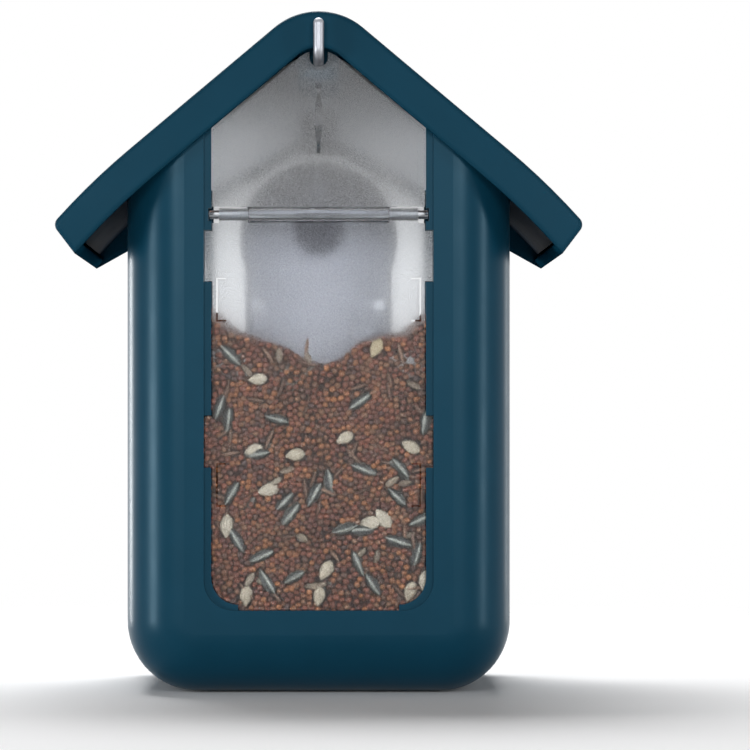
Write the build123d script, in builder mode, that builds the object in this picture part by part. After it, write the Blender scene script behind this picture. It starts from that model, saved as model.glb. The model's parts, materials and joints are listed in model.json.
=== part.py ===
"""Hanging house-shaped bird feeder with a seed bin, a rear filling door and a camera module.

Millimetres. +Z is up, the feet stand on z = 0, the origin is at the middle of the shell's footprint.
The filling side (rear) faces -Y, the camera and the seed tray face +Y, and X runs across.
"""
import os
from math import cos, radians, sin, tan

from build123d import *

os.makedirs("parts", exist_ok=True)

# Clearances shared by the whole assembly
seat_gap = 0.3  # between pieces that rest on or sit in each other
slide_gap = 0.4  # around pieces that slide or swing
running_gap = 0.05  # radial play of a pin in its bore
overrun = 5.0  # how far a cutting solid runs past what it cuts

# Roof
ridge_rise = 35.5  # from the front gable's lower apex to the ridge
ridge_radius = 23.0
roof_pitch = 40.0
eave_pitch = 48.0
eave_start = 63.7  # half width at which the slope begins to steepen
eave_radius = 239.0
eave_run = 2.6  # straight end of the outer face past the eave curve
eave_undercut = 2.3  # how much further the lower edge of the eave end runs
eave_wall = 1.6
eave_tip_radius = 3.0
fascia_depth = 12.1
fascia_wall = 3.2
roof_skin = 2.5
roof_length = 130.0
roof_edge_radius = 1.0
front_gable_radius = 16.0

# Outer shell
body_width = 130.5
shell_wall = 3.0
foot_proud = 0.4
base_corner_radius = 24.0
body_edge_radius = 20.0
fascia_cover = 1.0  # how far a fascia hides the edge of a gable opening

# Rear window in the shell, its recessed lip and the lip's notches
window_width = 77.3
window_sill = 28.6
window_corner_radius = 10.0
lip_recess = 1.2
lip_width = 2.5
lip_rise = 2.0
lip_corner_radius = 9.0
lip_gap_width = 54.1
notch_height = 17.5
notch_drop = 13.95  # from the hinge bar to the middle of the upper pair of notches
notch_rise = 56.9  # from the window's sill to the middle of the lower pair
clear_sheet = 2.0

# Hinge bar of the filling door
hinge_drop = 68.1  # below the ridge
pin_radius = 1.5
door_knuckle_radius = 2.5
door_knuckle_length = 47.0
panel_knuckle_radius = 2.2
panel_knuckle_length = 9.7
pin_seat_depth = 1.05
pin_seat_height = 4.4

# Filling door
door_fascia_gap = 0.7
door_rim_width = 2.4
door_rim_depth = 2.0
door_slot_width = 6.2
door_slot_rise = 1.0  # above the rod
door_pull_width = 2.7
door_pull_waist = 1.2
door_pull_reach = 6.5
door_pull_drop = 8.0  # below the slot
door_pull_height = 24.2
pull_neck_share = 0.165
pull_waist_share = 0.21
pull_belly_share = 0.54
pull_foot_share = 0.85

# Snap tabs of the rear panel
tab_height = 14.8
tab_inset = 1.5
tab_slit = 0.6
tab_foot = 3.0
tab_drop = 1.5  # how far the tab's top stands above the foot of its notch

# Hanger rod with a hook at each gable
rod_radius = 1.8
rod_drop = 16.2  # below the ridge
rod_bend_radius = 3.6
hook_gap = 2.2
hook_drop = 2.7  # below the ridge
rib_width = 14.0
rib_thickness = 2.5
rib_drop = 4.3  # below the rod
rib_place = 38.0

# Soffit panels under the eaves
soffit_thickness = 2.0
soffit_recess = 2.2
soffit_gap = 0.9
soffit_rib = 1.6
soffit_rib_place = 42.0

# Roof screws with their bosses and lugs
boss_radius = 4.0
boss_x = 54.0
boss_y = 40.0
lug_drop = 59.0  # below the ridge
lug_thickness = 3.0
lug_size = 10.0
screw_play = 0.15
socket_share = 0.55  # size of a screw's socket as a share of its head
roof_screw_radius = 1.4
roof_screw_head_radius = 2.7
roof_screw_head_height = 2.0
roof_screw_length = 11.0

# Front openings of the shell
front_bar = 6.0  # between the outlet and the front window
front_corner_radius = 8.0
outlet_top = 31.0
outlet_foot = 5.5
outlet_width = 76.8
outlet_corner_radius = 4.0

# Seed bin
bin_wall = 2.0
bin_inner_width = 82.0
bin_wall_drop = 11.9  # below the hinge bar
bin_floor_rear = 26.0
bin_floor_front = 14.0
bin_plate_rise = 1.0  # above the outlet
bin_gable_overlap = 3.0
drain_radius = 1.2
drain_pitch = 16.0
drain_rows = 3
drain_columns = 4

# Camera module: a domed head on a slightly narrower body
head_radius = 27.8
head_clearance = 9.8  # between the head and the front gable's apex
module_width = 51.6
module_rise = 38.0  # above the front window's sill
module_length = 81.9  # from the foot to the middle of the head
module_corner_radius = 10.0
module_back_y = 21.0
module_front_y = 63.0
module_wall = 2.0
module_edge_radius = 1.6
case_split_y = 36.0
gasket_thickness = 1.0
gasket_width = 1.2
gasket_inset = 0.4
pocket_back_gap = 1.1

# Lens, sensor and board in the module
lens_ring_radius = 17.0
lens_ring_bore = 12.0
lens_ring_proud = 2.0
lens_ring_seat = 0.8
lens_ring_neck_wall = 1.5
lens_ring_neck_length = 4.2
lens_ledge = 1.2
lens_cover_thickness = 1.2
lens_cover_dome = 1.0
lens_cover_setback = 1.4
barrel_radius = 8.0
barrel_bore = 5.6
barrel_base_bore = 6.8
barrel_base_depth = 3.0
barrel_length = 18.5
element_thickness = 2.0
element_setback = 1.0
sensor_size = 9.0
sensor_thickness = 1.4
board_width = 35.0
board_thickness = 1.6
board_front_y = 40.0
board_rise = 8.0  # above the module's foot
board_margin = 4.0
post_radius = 2.0
post_x = 12.5
post_rise = 15.0  # above the module's foot
post_top_rise = 16.1  # above the middle of the head

# Battery, port, button, motion window, light and screws in the module
battery_width = 33.0
battery_drop = 5.5  # between the port plug and the cell
battery_thickness = 9.0
battery_rise = 9.0  # above the module's foot
battery_edge_radius = 2.0
port_rise = 3.6  # above the middle of the head
plug_radius = 9.0
plug_lip = 0.6
plug_neck_radius = 7.2
plug_neck_length = 3.4
port_width = 9.2
port_body_height = 3.4
port_wall = 0.6
port_depth = 7.0
port_back_y = 25.0
button_gap = 2.3  # between the port plug and the button
button_radius = 2.7
button_flange_radius = 3.8
button_flange_thickness = 0.9
button_proud = 0.6
button_length = 5.8
button_edge_radius = 0.3
switch_size = 6.0
switch_back_y = 27.6
motion_gap = 14.7  # between the lens ring and the window's lip
motion_radius = 6.0
motion_lip_radius = 7.2
motion_lip_thickness = 1.2
motion_proud = 0.6
motion_dome = 2.4
light_gap = 9.2  # between the motion window and the light
light_radius = 1.5
light_lip_radius = 2.6
light_lip_thickness = 1.0
light_proud = 0.3
case_screw_x = 21.4
case_screw_rise = 8.5  # above the module's foot
case_screw_drop = 22.9  # below the middle of the head
case_boss_radius = 2.6
case_screw_radius = 1.1
case_screw_head_radius = 2.0
case_screw_head_height = 1.2
case_screw_length = 22.0

# Dock clip above the module
clip_width = 12.0
clip_thickness = 1.5
clip_drop = 24.0  # below the ridge
clip_foot_length = 16.0
clip_screw_drop = 3.5  # below the top of the clip
clip_screw_radius = 1.1
clip_screw_head_radius = 2.0
clip_screw_head_height = 1.2
clip_screw_length = 3.4
clip_boss_height = 6.6

# Seed tray and perch
tray_width = 75.6
tray_start_y = 56.8
tray_end_y = 88.0
tray_foot = 8.0
tray_wall = 2.0
tray_rim_height = 24.0
tray_corner_radius = 14.0
tray_edge_radius = 1.5
tongue_width = 60.0
tongue_start_y = 22.0
tongue_root = 8.0
rail_width = 2.0
rail_place = 25.0
rail_start_y = 12.0
rail_end_y = 40.0
perch_radius = 4.0
perch_length = 84.0
perch_end_radius = 1.5
perch_gap = 6.0
perch_height = 19.0
arm_width = 4.0
arm_place = 20.0
arm_wall = 2.2

# Threaded insert and feet in the base
insert_radius = 4.5
insert_bore_radius = 2.6
insert_length = 10.0
insert_boss_wall = 2.5
foot_radius = 3.1
foot_depth = 0.8
foot_x = 19.6
foot_y = 30.0

# Seed heaps
seed_dip_drop = 51.2  # below the hinge bar
seed_side_drop = 34.9
seed_dip_x = 2.0
tray_seed_rear = 24.0
tray_seed_front = 12.0
seed_relief = 2.4  # how far the large seeds stand out of the heap in the bin
tray_seed_relief = 1.4
large_seed_length = 9.2
large_seed_width = 4.6
large_seed_taper = 24.0
# Each large seed's place across and up a heap's face, and its turn in degrees
bin_seed_shares = (
    (-0.72, 0.53, 60),
    (-0.47, 0.37, 25),
    (-0.20, 0.31, 30),
    (0.45, 0.29, -58),
    (0.68, 0.59, -50),
    (0.66, 0.41, -18),
    (-0.73, 0.90, -45),
    (-0.54, 0.65, 20),
    (-0.19, 0.64, 10),
    (-0.41, 0.54, 15),
    (0.42, 0.46, 5),
    (-0.60, 0.26, 85),
    (0.00, 0.26, 80),
    (0.76, 0.27, 70),
    (0.22, 0.68, 30),
    (0.76, 0.68, -30),
    (-0.76, 0.43, 85),
    (0.48, 0.84, 65),
    (-0.50, 0.83, 5),
    (-0.34, 0.74, -15),
    (0.22, 0.42, 60),
    (-0.82, 0.76, 70),
    (0.38, 0.56, -20),
    (0.36, 0.77, 35),
    (0.86, 0.49, 80),
    (-0.04, 0.53, 60),
    (0.02, 0.79, 20),
    (0.84, 0.86, -70),
)
tray_seed_shares = (
    (-0.62, 0.30, 20),
    (-0.22, 0.22, -50),
    (0.30, 0.34, 75),
    (0.70, 0.24, -10),
    (-0.42, 0.66, 60),
    (0.05, 0.58, 10),
    (0.48, 0.70, -35),
)

# Heights that follow from each other, from the outlet up to the ridge
front_sill = outlet_top + front_bar
bin_plate_foot = outlet_top + bin_plate_rise
module_foot = front_sill + module_rise
head_height = module_foot + module_length
front_gable_apex = head_height + head_radius + head_clearance
ridge_height = front_gable_apex + ridge_rise
hinge_height = ridge_height - hinge_drop
notch_heights = (hinge_height - notch_drop, window_sill + notch_rise)
rod_height = ridge_height - rod_drop
hook_top = ridge_height - hook_drop
rib_foot = rod_height - rib_drop
lug_top = ridge_height - lug_drop
door_slot_height = rod_height + door_slot_rise
door_pull_top = door_slot_height - door_pull_drop
bin_wall_top = hinge_height - bin_wall_drop
clip_top = ridge_height - clip_drop
clip_screw_height = clip_top - clip_screw_drop
clip_boss_foot = clip_top - clip_boss_height
seed_dip_height = hinge_height - seed_dip_drop
seed_side_height = hinge_height - seed_side_drop
board_foot = module_foot + board_rise
post_heights = (module_foot + post_rise, head_height + post_top_rise)
port_height = head_height + port_rise
button_height = port_height + plug_radius + button_gap + button_radius
battery_foot = module_foot + battery_rise
battery_height = port_height - plug_radius - battery_drop - battery_foot
motion_height = head_height - lens_ring_radius - motion_gap - motion_lip_radius
light_height = motion_height - motion_lip_radius - light_gap - light_lip_radius
case_screw_heights = (module_foot + case_screw_rise, head_height - case_screw_drop)

# Faces and places that follow from the sizes above
roof_half = roof_length / 2
fascia_inside_y = roof_half - fascia_wall
body_half = fascia_inside_y - seat_gap
body_inside = body_half - shell_wall
body_half_width = body_width / 2
body_floor = foot_proud + shell_wall
ridge_centre = ridge_height - ridge_radius
pitch = radians(roof_pitch)
steep = radians(eave_pitch)
slope_fall = (eave_start - ridge_radius * sin(pitch)) * tan(pitch)
eave_start_z = ridge_centre + ridge_radius * cos(pitch) - slope_fall
eave_centre_x = eave_start - eave_radius * sin(pitch)
eave_centre_z = eave_start_z - eave_radius * cos(pitch)
lip_face_y = lip_recess - body_half
sheet_inside_y = lip_face_y + clear_sheet
lip_inner_half = window_width / 2 - lip_width
pin_length = 2 * (lip_inner_half + pin_seat_depth - slide_gap)
sheet_half_width = lip_inner_half - slide_gap
hinge_y = (lip_face_y + sheet_inside_y) / 2
gable_cut = fascia_depth - fascia_cover
front_gable_cut = front_gable_apex + fascia_cover
soffit_top = fascia_depth - soffit_recess - soffit_thickness
soffit_start = 2 * (body_half_width + soffit_gap)
pocket_run = eave_run - eave_wall
bin_half = bin_inner_width / 2
bin_front_y = body_inside - seat_gap
pocket_face_y = module_back_y - pocket_back_gap
pocket_grow = slide_gap + bin_wall
rail_top = tray_foot - tray_wall - seat_gap
perch_y = tray_end_y + perch_gap + perch_radius
split_back_y = case_split_y - gasket_thickness / 2
split_front_y = case_split_y + gasket_thickness / 2
case_back_inside_y = module_back_y + module_wall
case_front_inside_y = module_front_y - module_wall
board_back_y = board_front_y - board_thickness
ring_seat_y = module_front_y - lens_ring_seat
ring_front_y = module_front_y + lens_ring_proud
cover_seat_y = ring_front_y - lens_cover_setback - lens_cover_thickness
sides = (-1, 1)


def at_y(y):
    """An upright plane across the feeder, whose extrusions run towards -Y."""
    return Plane.XZ.offset(-y)


def extrude_between(start_y, end_y, mode=Mode.ADD):
    """Extrude the pending sketch, drawn at end_y, back to start_y."""
    extrude(amount=end_y - start_y, mode=mode)


def ridge_point(depth, angle):
    """A point on the ridge curve, a depth below the roof's outer face."""
    radius = ridge_radius - depth
    return (radius * sin(angle), ridge_centre + radius * cos(angle))


def eave_point(depth, angle):
    """A point on the eave curve, a depth below the roof's outer face."""
    radius = eave_radius - depth
    return (eave_centre_x + radius * sin(angle), eave_centre_z + radius * cos(angle))


def eave_end(depth, run):
    """The end of a roof line that runs straight past the eave curve."""
    x, z = eave_point(depth, steep)
    return (x + run * cos(steep), z - run * sin(steep))


def slope_line(depth, run):
    """Half of a line parallel to the roof's outer face, from the ridge to the eave."""
    bend = (pitch + steep) / 2
    ThreePointArc(ridge_point(depth, 0), ridge_point(depth, pitch / 2), ridge_point(depth, pitch))
    Line(ridge_point(depth, pitch), eave_point(depth, pitch))
    ThreePointArc(eave_point(depth, pitch), eave_point(depth, bend), eave_point(depth, steep))
    Line(eave_point(depth, steep), eave_end(depth, run))


def draw_roof_band(upper, lower, upper_run, lower_run):
    """The area between two lines parallel to the roof's outer face."""
    with BuildLine() as outline:
        slope_line(upper, upper_run)
        slope_line(lower, lower_run)
        Line(eave_end(upper, upper_run), eave_end(lower, lower_run))
        mirror(about=Plane.YZ)
    make_face(outline.line)


def draw_under_roof(depth, foot):
    """The area under a line parallel to the roof's outer face, down to a foot line."""
    end = eave_end(depth, eave_run)
    with BuildLine() as outline:
        slope_line(depth, eave_run)
        Polyline(end, (end[0], foot), (0, foot))
        mirror(about=Plane.YZ)
    make_face(outline.line)


low_eave_x, low_eave_z = eave_end(fascia_depth, eave_run + eave_undercut)
front_rise = (front_gable_apex - low_eave_z) / low_eave_x


def draw_front_fascia():
    """The front fascia: the roof's outer face above, two straight lines rising to the apex below."""
    with BuildLine() as outline:
        slope_line(0, eave_run)
        Polyline(eave_end(0, eave_run), (low_eave_x, low_eave_z), (0, front_gable_apex))
        mirror(about=Plane.YZ)
    make_face(outline.line)
    inner_apex = vertices().filter_by_position(Axis.X, -seat_gap, seat_gap).sort_by(Axis.Y)[0]
    fillet(inner_apex, front_gable_radius)


def draw_roof_envelope():
    """Everything between the roof's outer face and the level of its lower edges, with rounded tips."""
    with BuildLine() as outline:
        slope_line(0, eave_run)
        Polyline(eave_end(0, eave_run), (low_eave_x, low_eave_z), (0, low_eave_z))
        mirror(about=Plane.YZ)
    make_face(outline.line)
    fillet((vertices().sort_by(Axis.X)[0], vertices().sort_by(Axis.X)[-1]), eave_tip_radius)


def is_on_top(edge):
    """Whether an edge of a gable's face belongs to the roof's outer line, eave ends included."""
    middle = edge @ (1 / 2)
    on_ridge = middle.Z > ridge_height - fascia_depth / 2
    below = fascia_depth / 2 / cos(pitch)
    on_slope = middle.Z > eave_start_z + (eave_start - abs(middle.X)) * tan(pitch) - below
    past_end = abs(middle.X) > low_eave_x
    return on_ridge or on_slope or past_end


def draw_low_gable(apex, half_width, foot, corner):
    """A house shape with the rise of the front fascia's lower edge and a rounded peak."""
    shoulder = apex - half_width * front_rise
    with BuildLine() as outline:
        Polyline((0, foot), (half_width, foot), (half_width, shoulder), (0, apex))
        mirror(about=Plane.YZ)
    make_face(outline.line)
    fillet(vertices().sort_by(Axis.Y)[-1], front_gable_radius)
    fillet(vertices().filter_by_position(Axis.X, half_width / 2, 2 * half_width).sort_by(Axis.Y)[0], corner)
    fillet(vertices().filter_by_position(Axis.X, -2 * half_width, -half_width / 2).sort_by(Axis.Y)[0], corner)


def draw_window(width, sill, corner, gable_depth):
    """The rear window's outline, with round lower corners and a top parallel to the roof."""
    draw_under_roof(gable_depth, sill)
    with Locations((0, sill)):
        Rectangle(width, ridge_height, align=(Align.CENTER, Align.MIN), mode=Mode.INTERSECT)
    fillet(vertices().filter_by_position(Axis.X, width / 4, width).sort_by(Axis.Y)[0], corner)
    fillet(vertices().filter_by_position(Axis.X, -width, -width / 4).sort_by(Axis.Y)[0], corner)


def draw_module(margin):
    """The camera module seen from behind, grown by a margin."""
    foot = module_foot - margin
    with Locations((0, foot)):
        Rectangle(module_width + 2 * margin, head_height - foot, align=(Align.CENTER, Align.MIN))
    fillet(vertices().group_by(Axis.Y)[0], module_corner_radius + margin)
    with Locations((0, head_height)):
        Circle(head_radius + margin)


def rounded_block(half_width, foot, corner, half_length, edge):
    """A tall block with large lower corners, whose upright and lower end edges are rounded."""
    with BuildSketch(at_y(half_length)) as profile:
        with Locations((0, foot)):
            Rectangle(2 * half_width, ridge_height, align=(Align.CENTER, Align.MIN))
        fillet(vertices().group_by(Axis.Y)[0], corner)
    extrude(profile.sketch, amount=2 * half_length)
    rims = faces().filter_by(Axis.Y).edges().sort_by(Axis.Z)
    fillet(rims[:-2], edge)


def screw(seat, radius, length, head_radius, head_height):
    """A socket screw whose head rests on the seat plane and whose shank runs along its normal."""
    with BuildSketch(seat) as shank:
        Circle(radius)
    extrude(shank.sketch, amount=length)
    with BuildSketch(seat) as head:
        Circle(head_radius)
    extrude(head.sketch, amount=-head_height)
    with BuildSketch(seat.offset(-head_height)) as socket:
        RegularPolygon(head_radius * socket_share, side_count=6)
    extrude(socket.sketch, amount=head_height * socket_share, mode=Mode.SUBTRACT)


def save(piece, name):
    """Label a finished piece and write it to its own file."""
    piece.part.label = name
    export_step(piece.part, f"parts/{name}.step")


# Room inside the shell, and the same room less a seat gap for what stands in it
with BuildPart() as shell_room:
    rounded_block(
        body_half_width - shell_wall,
        body_floor,
        base_corner_radius - shell_wall,
        body_inside,
        body_edge_radius - shell_wall,
    )
with BuildPart() as liner_room:
    rounded_block(
        body_half_width - shell_wall - seat_gap,
        body_floor + seat_gap,
        base_corner_radius - shell_wall - seat_gap,
        body_inside - seat_gap,
        body_edge_radius - shell_wall - seat_gap,
    )

# Outer shell: a rounded tub with gable walls, a rear window, a front window and a tray opening
with BuildPart() as outer_shell:
    rounded_block(body_half_width, foot_proud, base_corner_radius, body_half, body_edge_radius)
    add(shell_room.part, mode=Mode.SUBTRACT)
    # Lugs for the roof screws, on the side walls
    for side in sides:
        for end in sides:
            lug_in = boss_x - boss_radius
            lug_out = body_half_width - shell_wall / 2
            with BuildSketch(Plane.XY.offset(lug_top - lug_thickness)):
                with Locations((side * (lug_in + lug_out) / 2, end * boss_y)):
                    Rectangle(lug_out - lug_in, lug_size)
            extrude(amount=lug_thickness)
            with BuildSketch(Plane.XY.offset(lug_top)):
                with Locations((side * boss_x, end * boss_y)):
                    Circle(roof_screw_radius + screw_play)
            extrude(amount=-lug_thickness, mode=Mode.SUBTRACT)
    # Boss for the dock clip, on the front wall above the window
    with BuildSketch(at_y(body_inside)):
        with Locations((0, (clip_boss_foot + clip_top) / 2)):
            Rectangle(clip_width, clip_top - clip_boss_foot)
    extrude_between(bin_front_y - bin_wall, body_inside)
    # Rails under the tray's tongue
    with BuildSketch(Plane.XY.offset(body_floor)):
        for side in sides:
            with Locations((side * rail_place, (rail_start_y + rail_end_y) / 2)):
                Rectangle(rail_width, rail_end_y - rail_start_y)
    extrude(amount=rail_top - body_floor)
    # Boss round the threaded insert
    with BuildSketch(Plane.XY.offset(foot_proud)):
        Circle(insert_radius + insert_boss_wall)
    extrude(amount=insert_length)
    # The gable follows the underside of the roof
    with BuildSketch(at_y(roof_half)):
        draw_under_roof(roof_skin + seat_gap, -overrun)
    extrude_between(-roof_half, roof_half, mode=Mode.INTERSECT)
    # The full rear window, down to the lip's face
    with BuildSketch(at_y(lip_face_y)):
        draw_window(window_width, window_sill, window_corner_radius, gable_cut)
    extrude_between(-body_half - overrun, lip_face_y, mode=Mode.SUBTRACT)
    # The narrower window inside the lip, with the lip's notches, foot gap and pin seats
    with BuildSketch(at_y(-body_inside + seat_gap)):
        draw_window(2 * lip_inner_half, window_sill + lip_rise, lip_corner_radius, gable_cut)
        for height in notch_heights:
            with Locations((0, height)):
                Rectangle(window_width, notch_height)
        with Locations((0, window_sill)):
            Rectangle(lip_gap_width, lip_corner_radius, align=(Align.CENTER, Align.MIN))
        with Locations((0, hinge_height)):
            Rectangle(2 * (lip_inner_half + pin_seat_depth), pin_seat_height)
    extrude_between(lip_face_y - seat_gap, -body_inside + seat_gap, mode=Mode.SUBTRACT)
    # The front window around the camera module, and the tray opening below it
    with BuildSketch(at_y(body_half + overrun)):
        draw_low_gable(front_gable_cut, window_width / 2, front_sill, front_corner_radius)
    extrude_between(body_inside - seat_gap, body_half + overrun, mode=Mode.SUBTRACT)
    with BuildSketch(at_y(body_half + overrun)):
        with Locations((0, (outlet_foot + outlet_top) / 2)):
            RectangleRounded(outlet_width, outlet_top - outlet_foot, outlet_corner_radius)
    extrude_between(body_inside - body_edge_radius, body_half + overrun, mode=Mode.SUBTRACT)
    # Holes for the hanger rod, the clip screw, the threaded insert, the feet and drainage
    with BuildSketch(at_y(body_half)):
        with Locations((0, rod_height)):
            Circle(rod_radius + slide_gap)
    extrude_between(0, body_half, mode=Mode.SUBTRACT)
    with BuildSketch(at_y(body_inside)):
        with Locations((0, clip_screw_height)):
            Circle(clip_screw_radius + screw_play)
    extrude_between(bin_front_y - bin_wall, body_inside, mode=Mode.SUBTRACT)
    with BuildSketch(Plane.XY):
        Circle(insert_radius + running_gap)
        with GridLocations(4 * drain_pitch, 2 * drain_pitch, 2, 2):
            Circle(drain_radius)
    extrude(amount=foot_proud + insert_length, mode=Mode.SUBTRACT)
    with BuildSketch(Plane.XY):
        with GridLocations(2 * foot_x, 2 * foot_y, 2, 2):
            Circle(foot_radius + running_gap)
    extrude(amount=foot_depth, mode=Mode.SUBTRACT)
save(outer_shell, "outer_shell")

# Roof shell: a curved skin with deep fascias, screw bosses, ribs that hold the rod, and soffit ribs
with BuildPart() as roof_shell:
    for side in sides:
        for end in sides:
            with BuildSketch(Plane.XY.offset(lug_top + seat_gap)):
                with Locations((side * boss_x, end * boss_y)):
                    Circle(boss_radius)
            extrude(amount=ridge_height - lug_top)
    for place in (-rib_place, 0, rib_place):
        with BuildSketch(at_y(place + rib_thickness / 2)):
            with Locations((0, rib_foot)):
                Rectangle(rib_width, ridge_height - rib_foot, align=(Align.CENTER, Align.MIN))
        extrude(amount=rib_thickness)
    with BuildSketch(at_y(roof_half)):
        draw_under_roof(roof_skin / 2, 0)
    extrude_between(-roof_half, roof_half, mode=Mode.INTERSECT)
    for place in (-soffit_rib_place, 0, soffit_rib_place):
        with BuildSketch(at_y(place + soffit_rib / 2)):
            draw_roof_band(roof_skin / 2, soffit_top - seat_gap, pocket_run, pocket_run)
            Rectangle(soffit_start, 2 * ridge_height, mode=Mode.SUBTRACT)
        extrude(amount=soffit_rib)
    with BuildSketch(at_y(roof_half)):
        draw_roof_band(0, roof_skin, eave_run, eave_run)
    extrude_between(-roof_half, roof_half)
    # The eave ends close the roof's edge to the full depth of the fascia
    with BuildSketch(at_y(roof_half)):
        draw_roof_band(0, fascia_depth, eave_run, eave_run + eave_undercut)
        with BuildSketch(mode=Mode.PRIVATE) as inside_eaves:
            draw_roof_band(roof_skin, fascia_depth + overrun, pocket_run, pocket_run)
        add(inside_eaves.sketch, mode=Mode.SUBTRACT)
    extrude_between(-roof_half, roof_half)
    # The rear fascia is as deep as the eaves, and the front one comes down to a low gable
    with BuildSketch(at_y(-fascia_inside_y)):
        draw_roof_band(0, fascia_depth, eave_run, eave_run + eave_undercut)
    extrude(amount=fascia_wall)
    with BuildSketch(at_y(roof_half)):
        draw_front_fascia()
    extrude(amount=fascia_wall)
    # The rod's way through the ribs and the front fascia, and the screw holes in the bosses
    with BuildSketch(at_y(roof_half)):
        with Locations((0, rod_height)):
            Circle(rod_radius + slide_gap)
    extrude(amount=fascia_wall, mode=Mode.SUBTRACT)
    with BuildSketch(at_y(fascia_inside_y)):
        with Locations((0, rod_height)):
            Circle(rod_radius + running_gap)
    extrude_between(-fascia_inside_y, fascia_inside_y, mode=Mode.SUBTRACT)
    with BuildSketch(Plane.XY.offset(lug_top)):
        with GridLocations(2 * boss_x, 2 * boss_y, 2, 2):
            Circle(roof_screw_radius + screw_play)
    extrude(amount=roof_screw_length, mode=Mode.SUBTRACT)
    # Rounded eave tips, and a softened edge round each gable's outline
    with BuildSketch(at_y(roof_half)):
        draw_roof_envelope()
    extrude(amount=roof_length, mode=Mode.INTERSECT)
    for end_y in (-roof_half, roof_half):
        gable = faces().filter_by_position(Axis.Y, end_y - running_gap, end_y + running_gap)
        fillet(gable.edges().filter_by(is_on_top), roof_edge_radius)
save(roof_shell, "roof_shell")

# Soffit panels, one under each eave, seated on the soffit ribs
for side, soffit_name in zip(sides, ("soffit_left", "soffit_right")):
    with BuildPart() as soffit:
        with BuildSketch(at_y(fascia_inside_y - soffit_gap)):
            soffit_run = pocket_run - soffit_gap
            draw_roof_band(soffit_top, soffit_top + soffit_thickness, soffit_run, soffit_run)
            Rectangle(soffit_start, 2 * ridge_height, mode=Mode.SUBTRACT)
            with Locations((-side * roof_length, 0)):
                Rectangle(2 * roof_length, 2 * ridge_height, mode=Mode.SUBTRACT)
        extrude(amount=2 * (fascia_inside_y - soffit_gap))
        corners = edges().filter_by(lambda e: abs(e.length - soffit_thickness) < seat_gap)
        fillet(corners, soffit_recess)
    save(soffit, soffit_name)

# Roof screws, up through the lugs into the bosses
with BuildPart() as roof_screws:
    for side in sides:
        for end in sides:
            seat = Plane(origin=(side * boss_x, end * boss_y, lug_top - lug_thickness), z_dir=(0, 0, 1))
            screw(seat, roof_screw_radius, roof_screw_length, roof_screw_head_radius, roof_screw_head_height)
save(roof_screws, "roof_screws")

# Hanger rod: along the ridge, through both gables, with each end turned up as a hook
hook_y = roof_half + hook_gap + rod_radius
with BuildPart() as hanger_rod:
    with BuildLine():
        FilletPolyline(
            (0, -hook_y, hook_top - rod_radius),
            (0, -hook_y, rod_height),
            (0, hook_y, rod_height),
            (0, hook_y, hook_top - rod_radius),
            radius=rod_bend_radius,
        )
    with BuildSketch(Plane(origin=(0, -hook_y, hook_top - rod_radius), z_dir=(0, 0, -1))):
        Circle(rod_radius)
    sweep()
    for end in sides:
        with Locations((0, end * hook_y, hook_top - rod_radius)):
            Sphere(rod_radius)
save(hanger_rod, "hanger_rod")

# Seed bin: clear side walls, a sloping floor, and a front plate with a pocket for the camera module
with BuildPart() as seed_bin:
    for side in sides:
        with BuildSketch(Plane.XY):
            with Locations((side * (bin_half + bin_wall / 2), 0)):
                Rectangle(bin_wall, 2 * bin_front_y)
        extrude(amount=bin_wall_top)
    with BuildSketch(Plane.YZ.offset(-bin_half)):
        with BuildLine():
            Polyline(
                (-bin_front_y, bin_floor_rear - bin_wall),
                (bin_front_y, bin_floor_front - bin_wall),
                (bin_front_y, bin_floor_front),
                (-bin_front_y, bin_floor_rear),
                close=True,
            )
        make_face()
    extrude(amount=bin_inner_width)
    with BuildSketch(at_y(bin_front_y)):
        plate_apex = front_gable_cut + bin_gable_overlap
        draw_low_gable(plate_apex, bin_half + bin_wall, bin_plate_foot, bin_wall)
    extrude(amount=bin_wall)
    with BuildSketch(at_y(bin_front_y)):
        draw_module(pocket_grow)
    extrude_between(pocket_face_y - bin_wall, bin_front_y)
    with BuildSketch(at_y(bin_front_y + overrun)):
        draw_module(slide_gap)
    extrude_between(pocket_face_y, bin_front_y + overrun, mode=Mode.SUBTRACT)
    with BuildSketch(Plane.XY):
        with GridLocations(drain_pitch, drain_pitch, drain_columns, drain_rows):
            Circle(drain_radius)
    extrude(amount=bin_plate_foot, mode=Mode.SUBTRACT)
    # The floor ends short of the tray
    with BuildSketch(at_y(bin_front_y + overrun)):
        Rectangle(bin_inner_width, bin_plate_foot, align=(Align.CENTER, Align.MIN))
    extrude_between(tray_start_y - slide_gap, bin_front_y + overrun, mode=Mode.SUBTRACT)
    add(liner_room.part, mode=Mode.INTERSECT)
save(seed_bin, "seed_bin")

# A large seed, seen flat
with BuildSketch() as large_seed:
    with BuildLine():
        for side in sides:
            ThreePointArc(
                (-large_seed_length / 2, 0), (0, side * large_seed_width / 2), (large_seed_length / 2, 0)
            )
    make_face()

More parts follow.
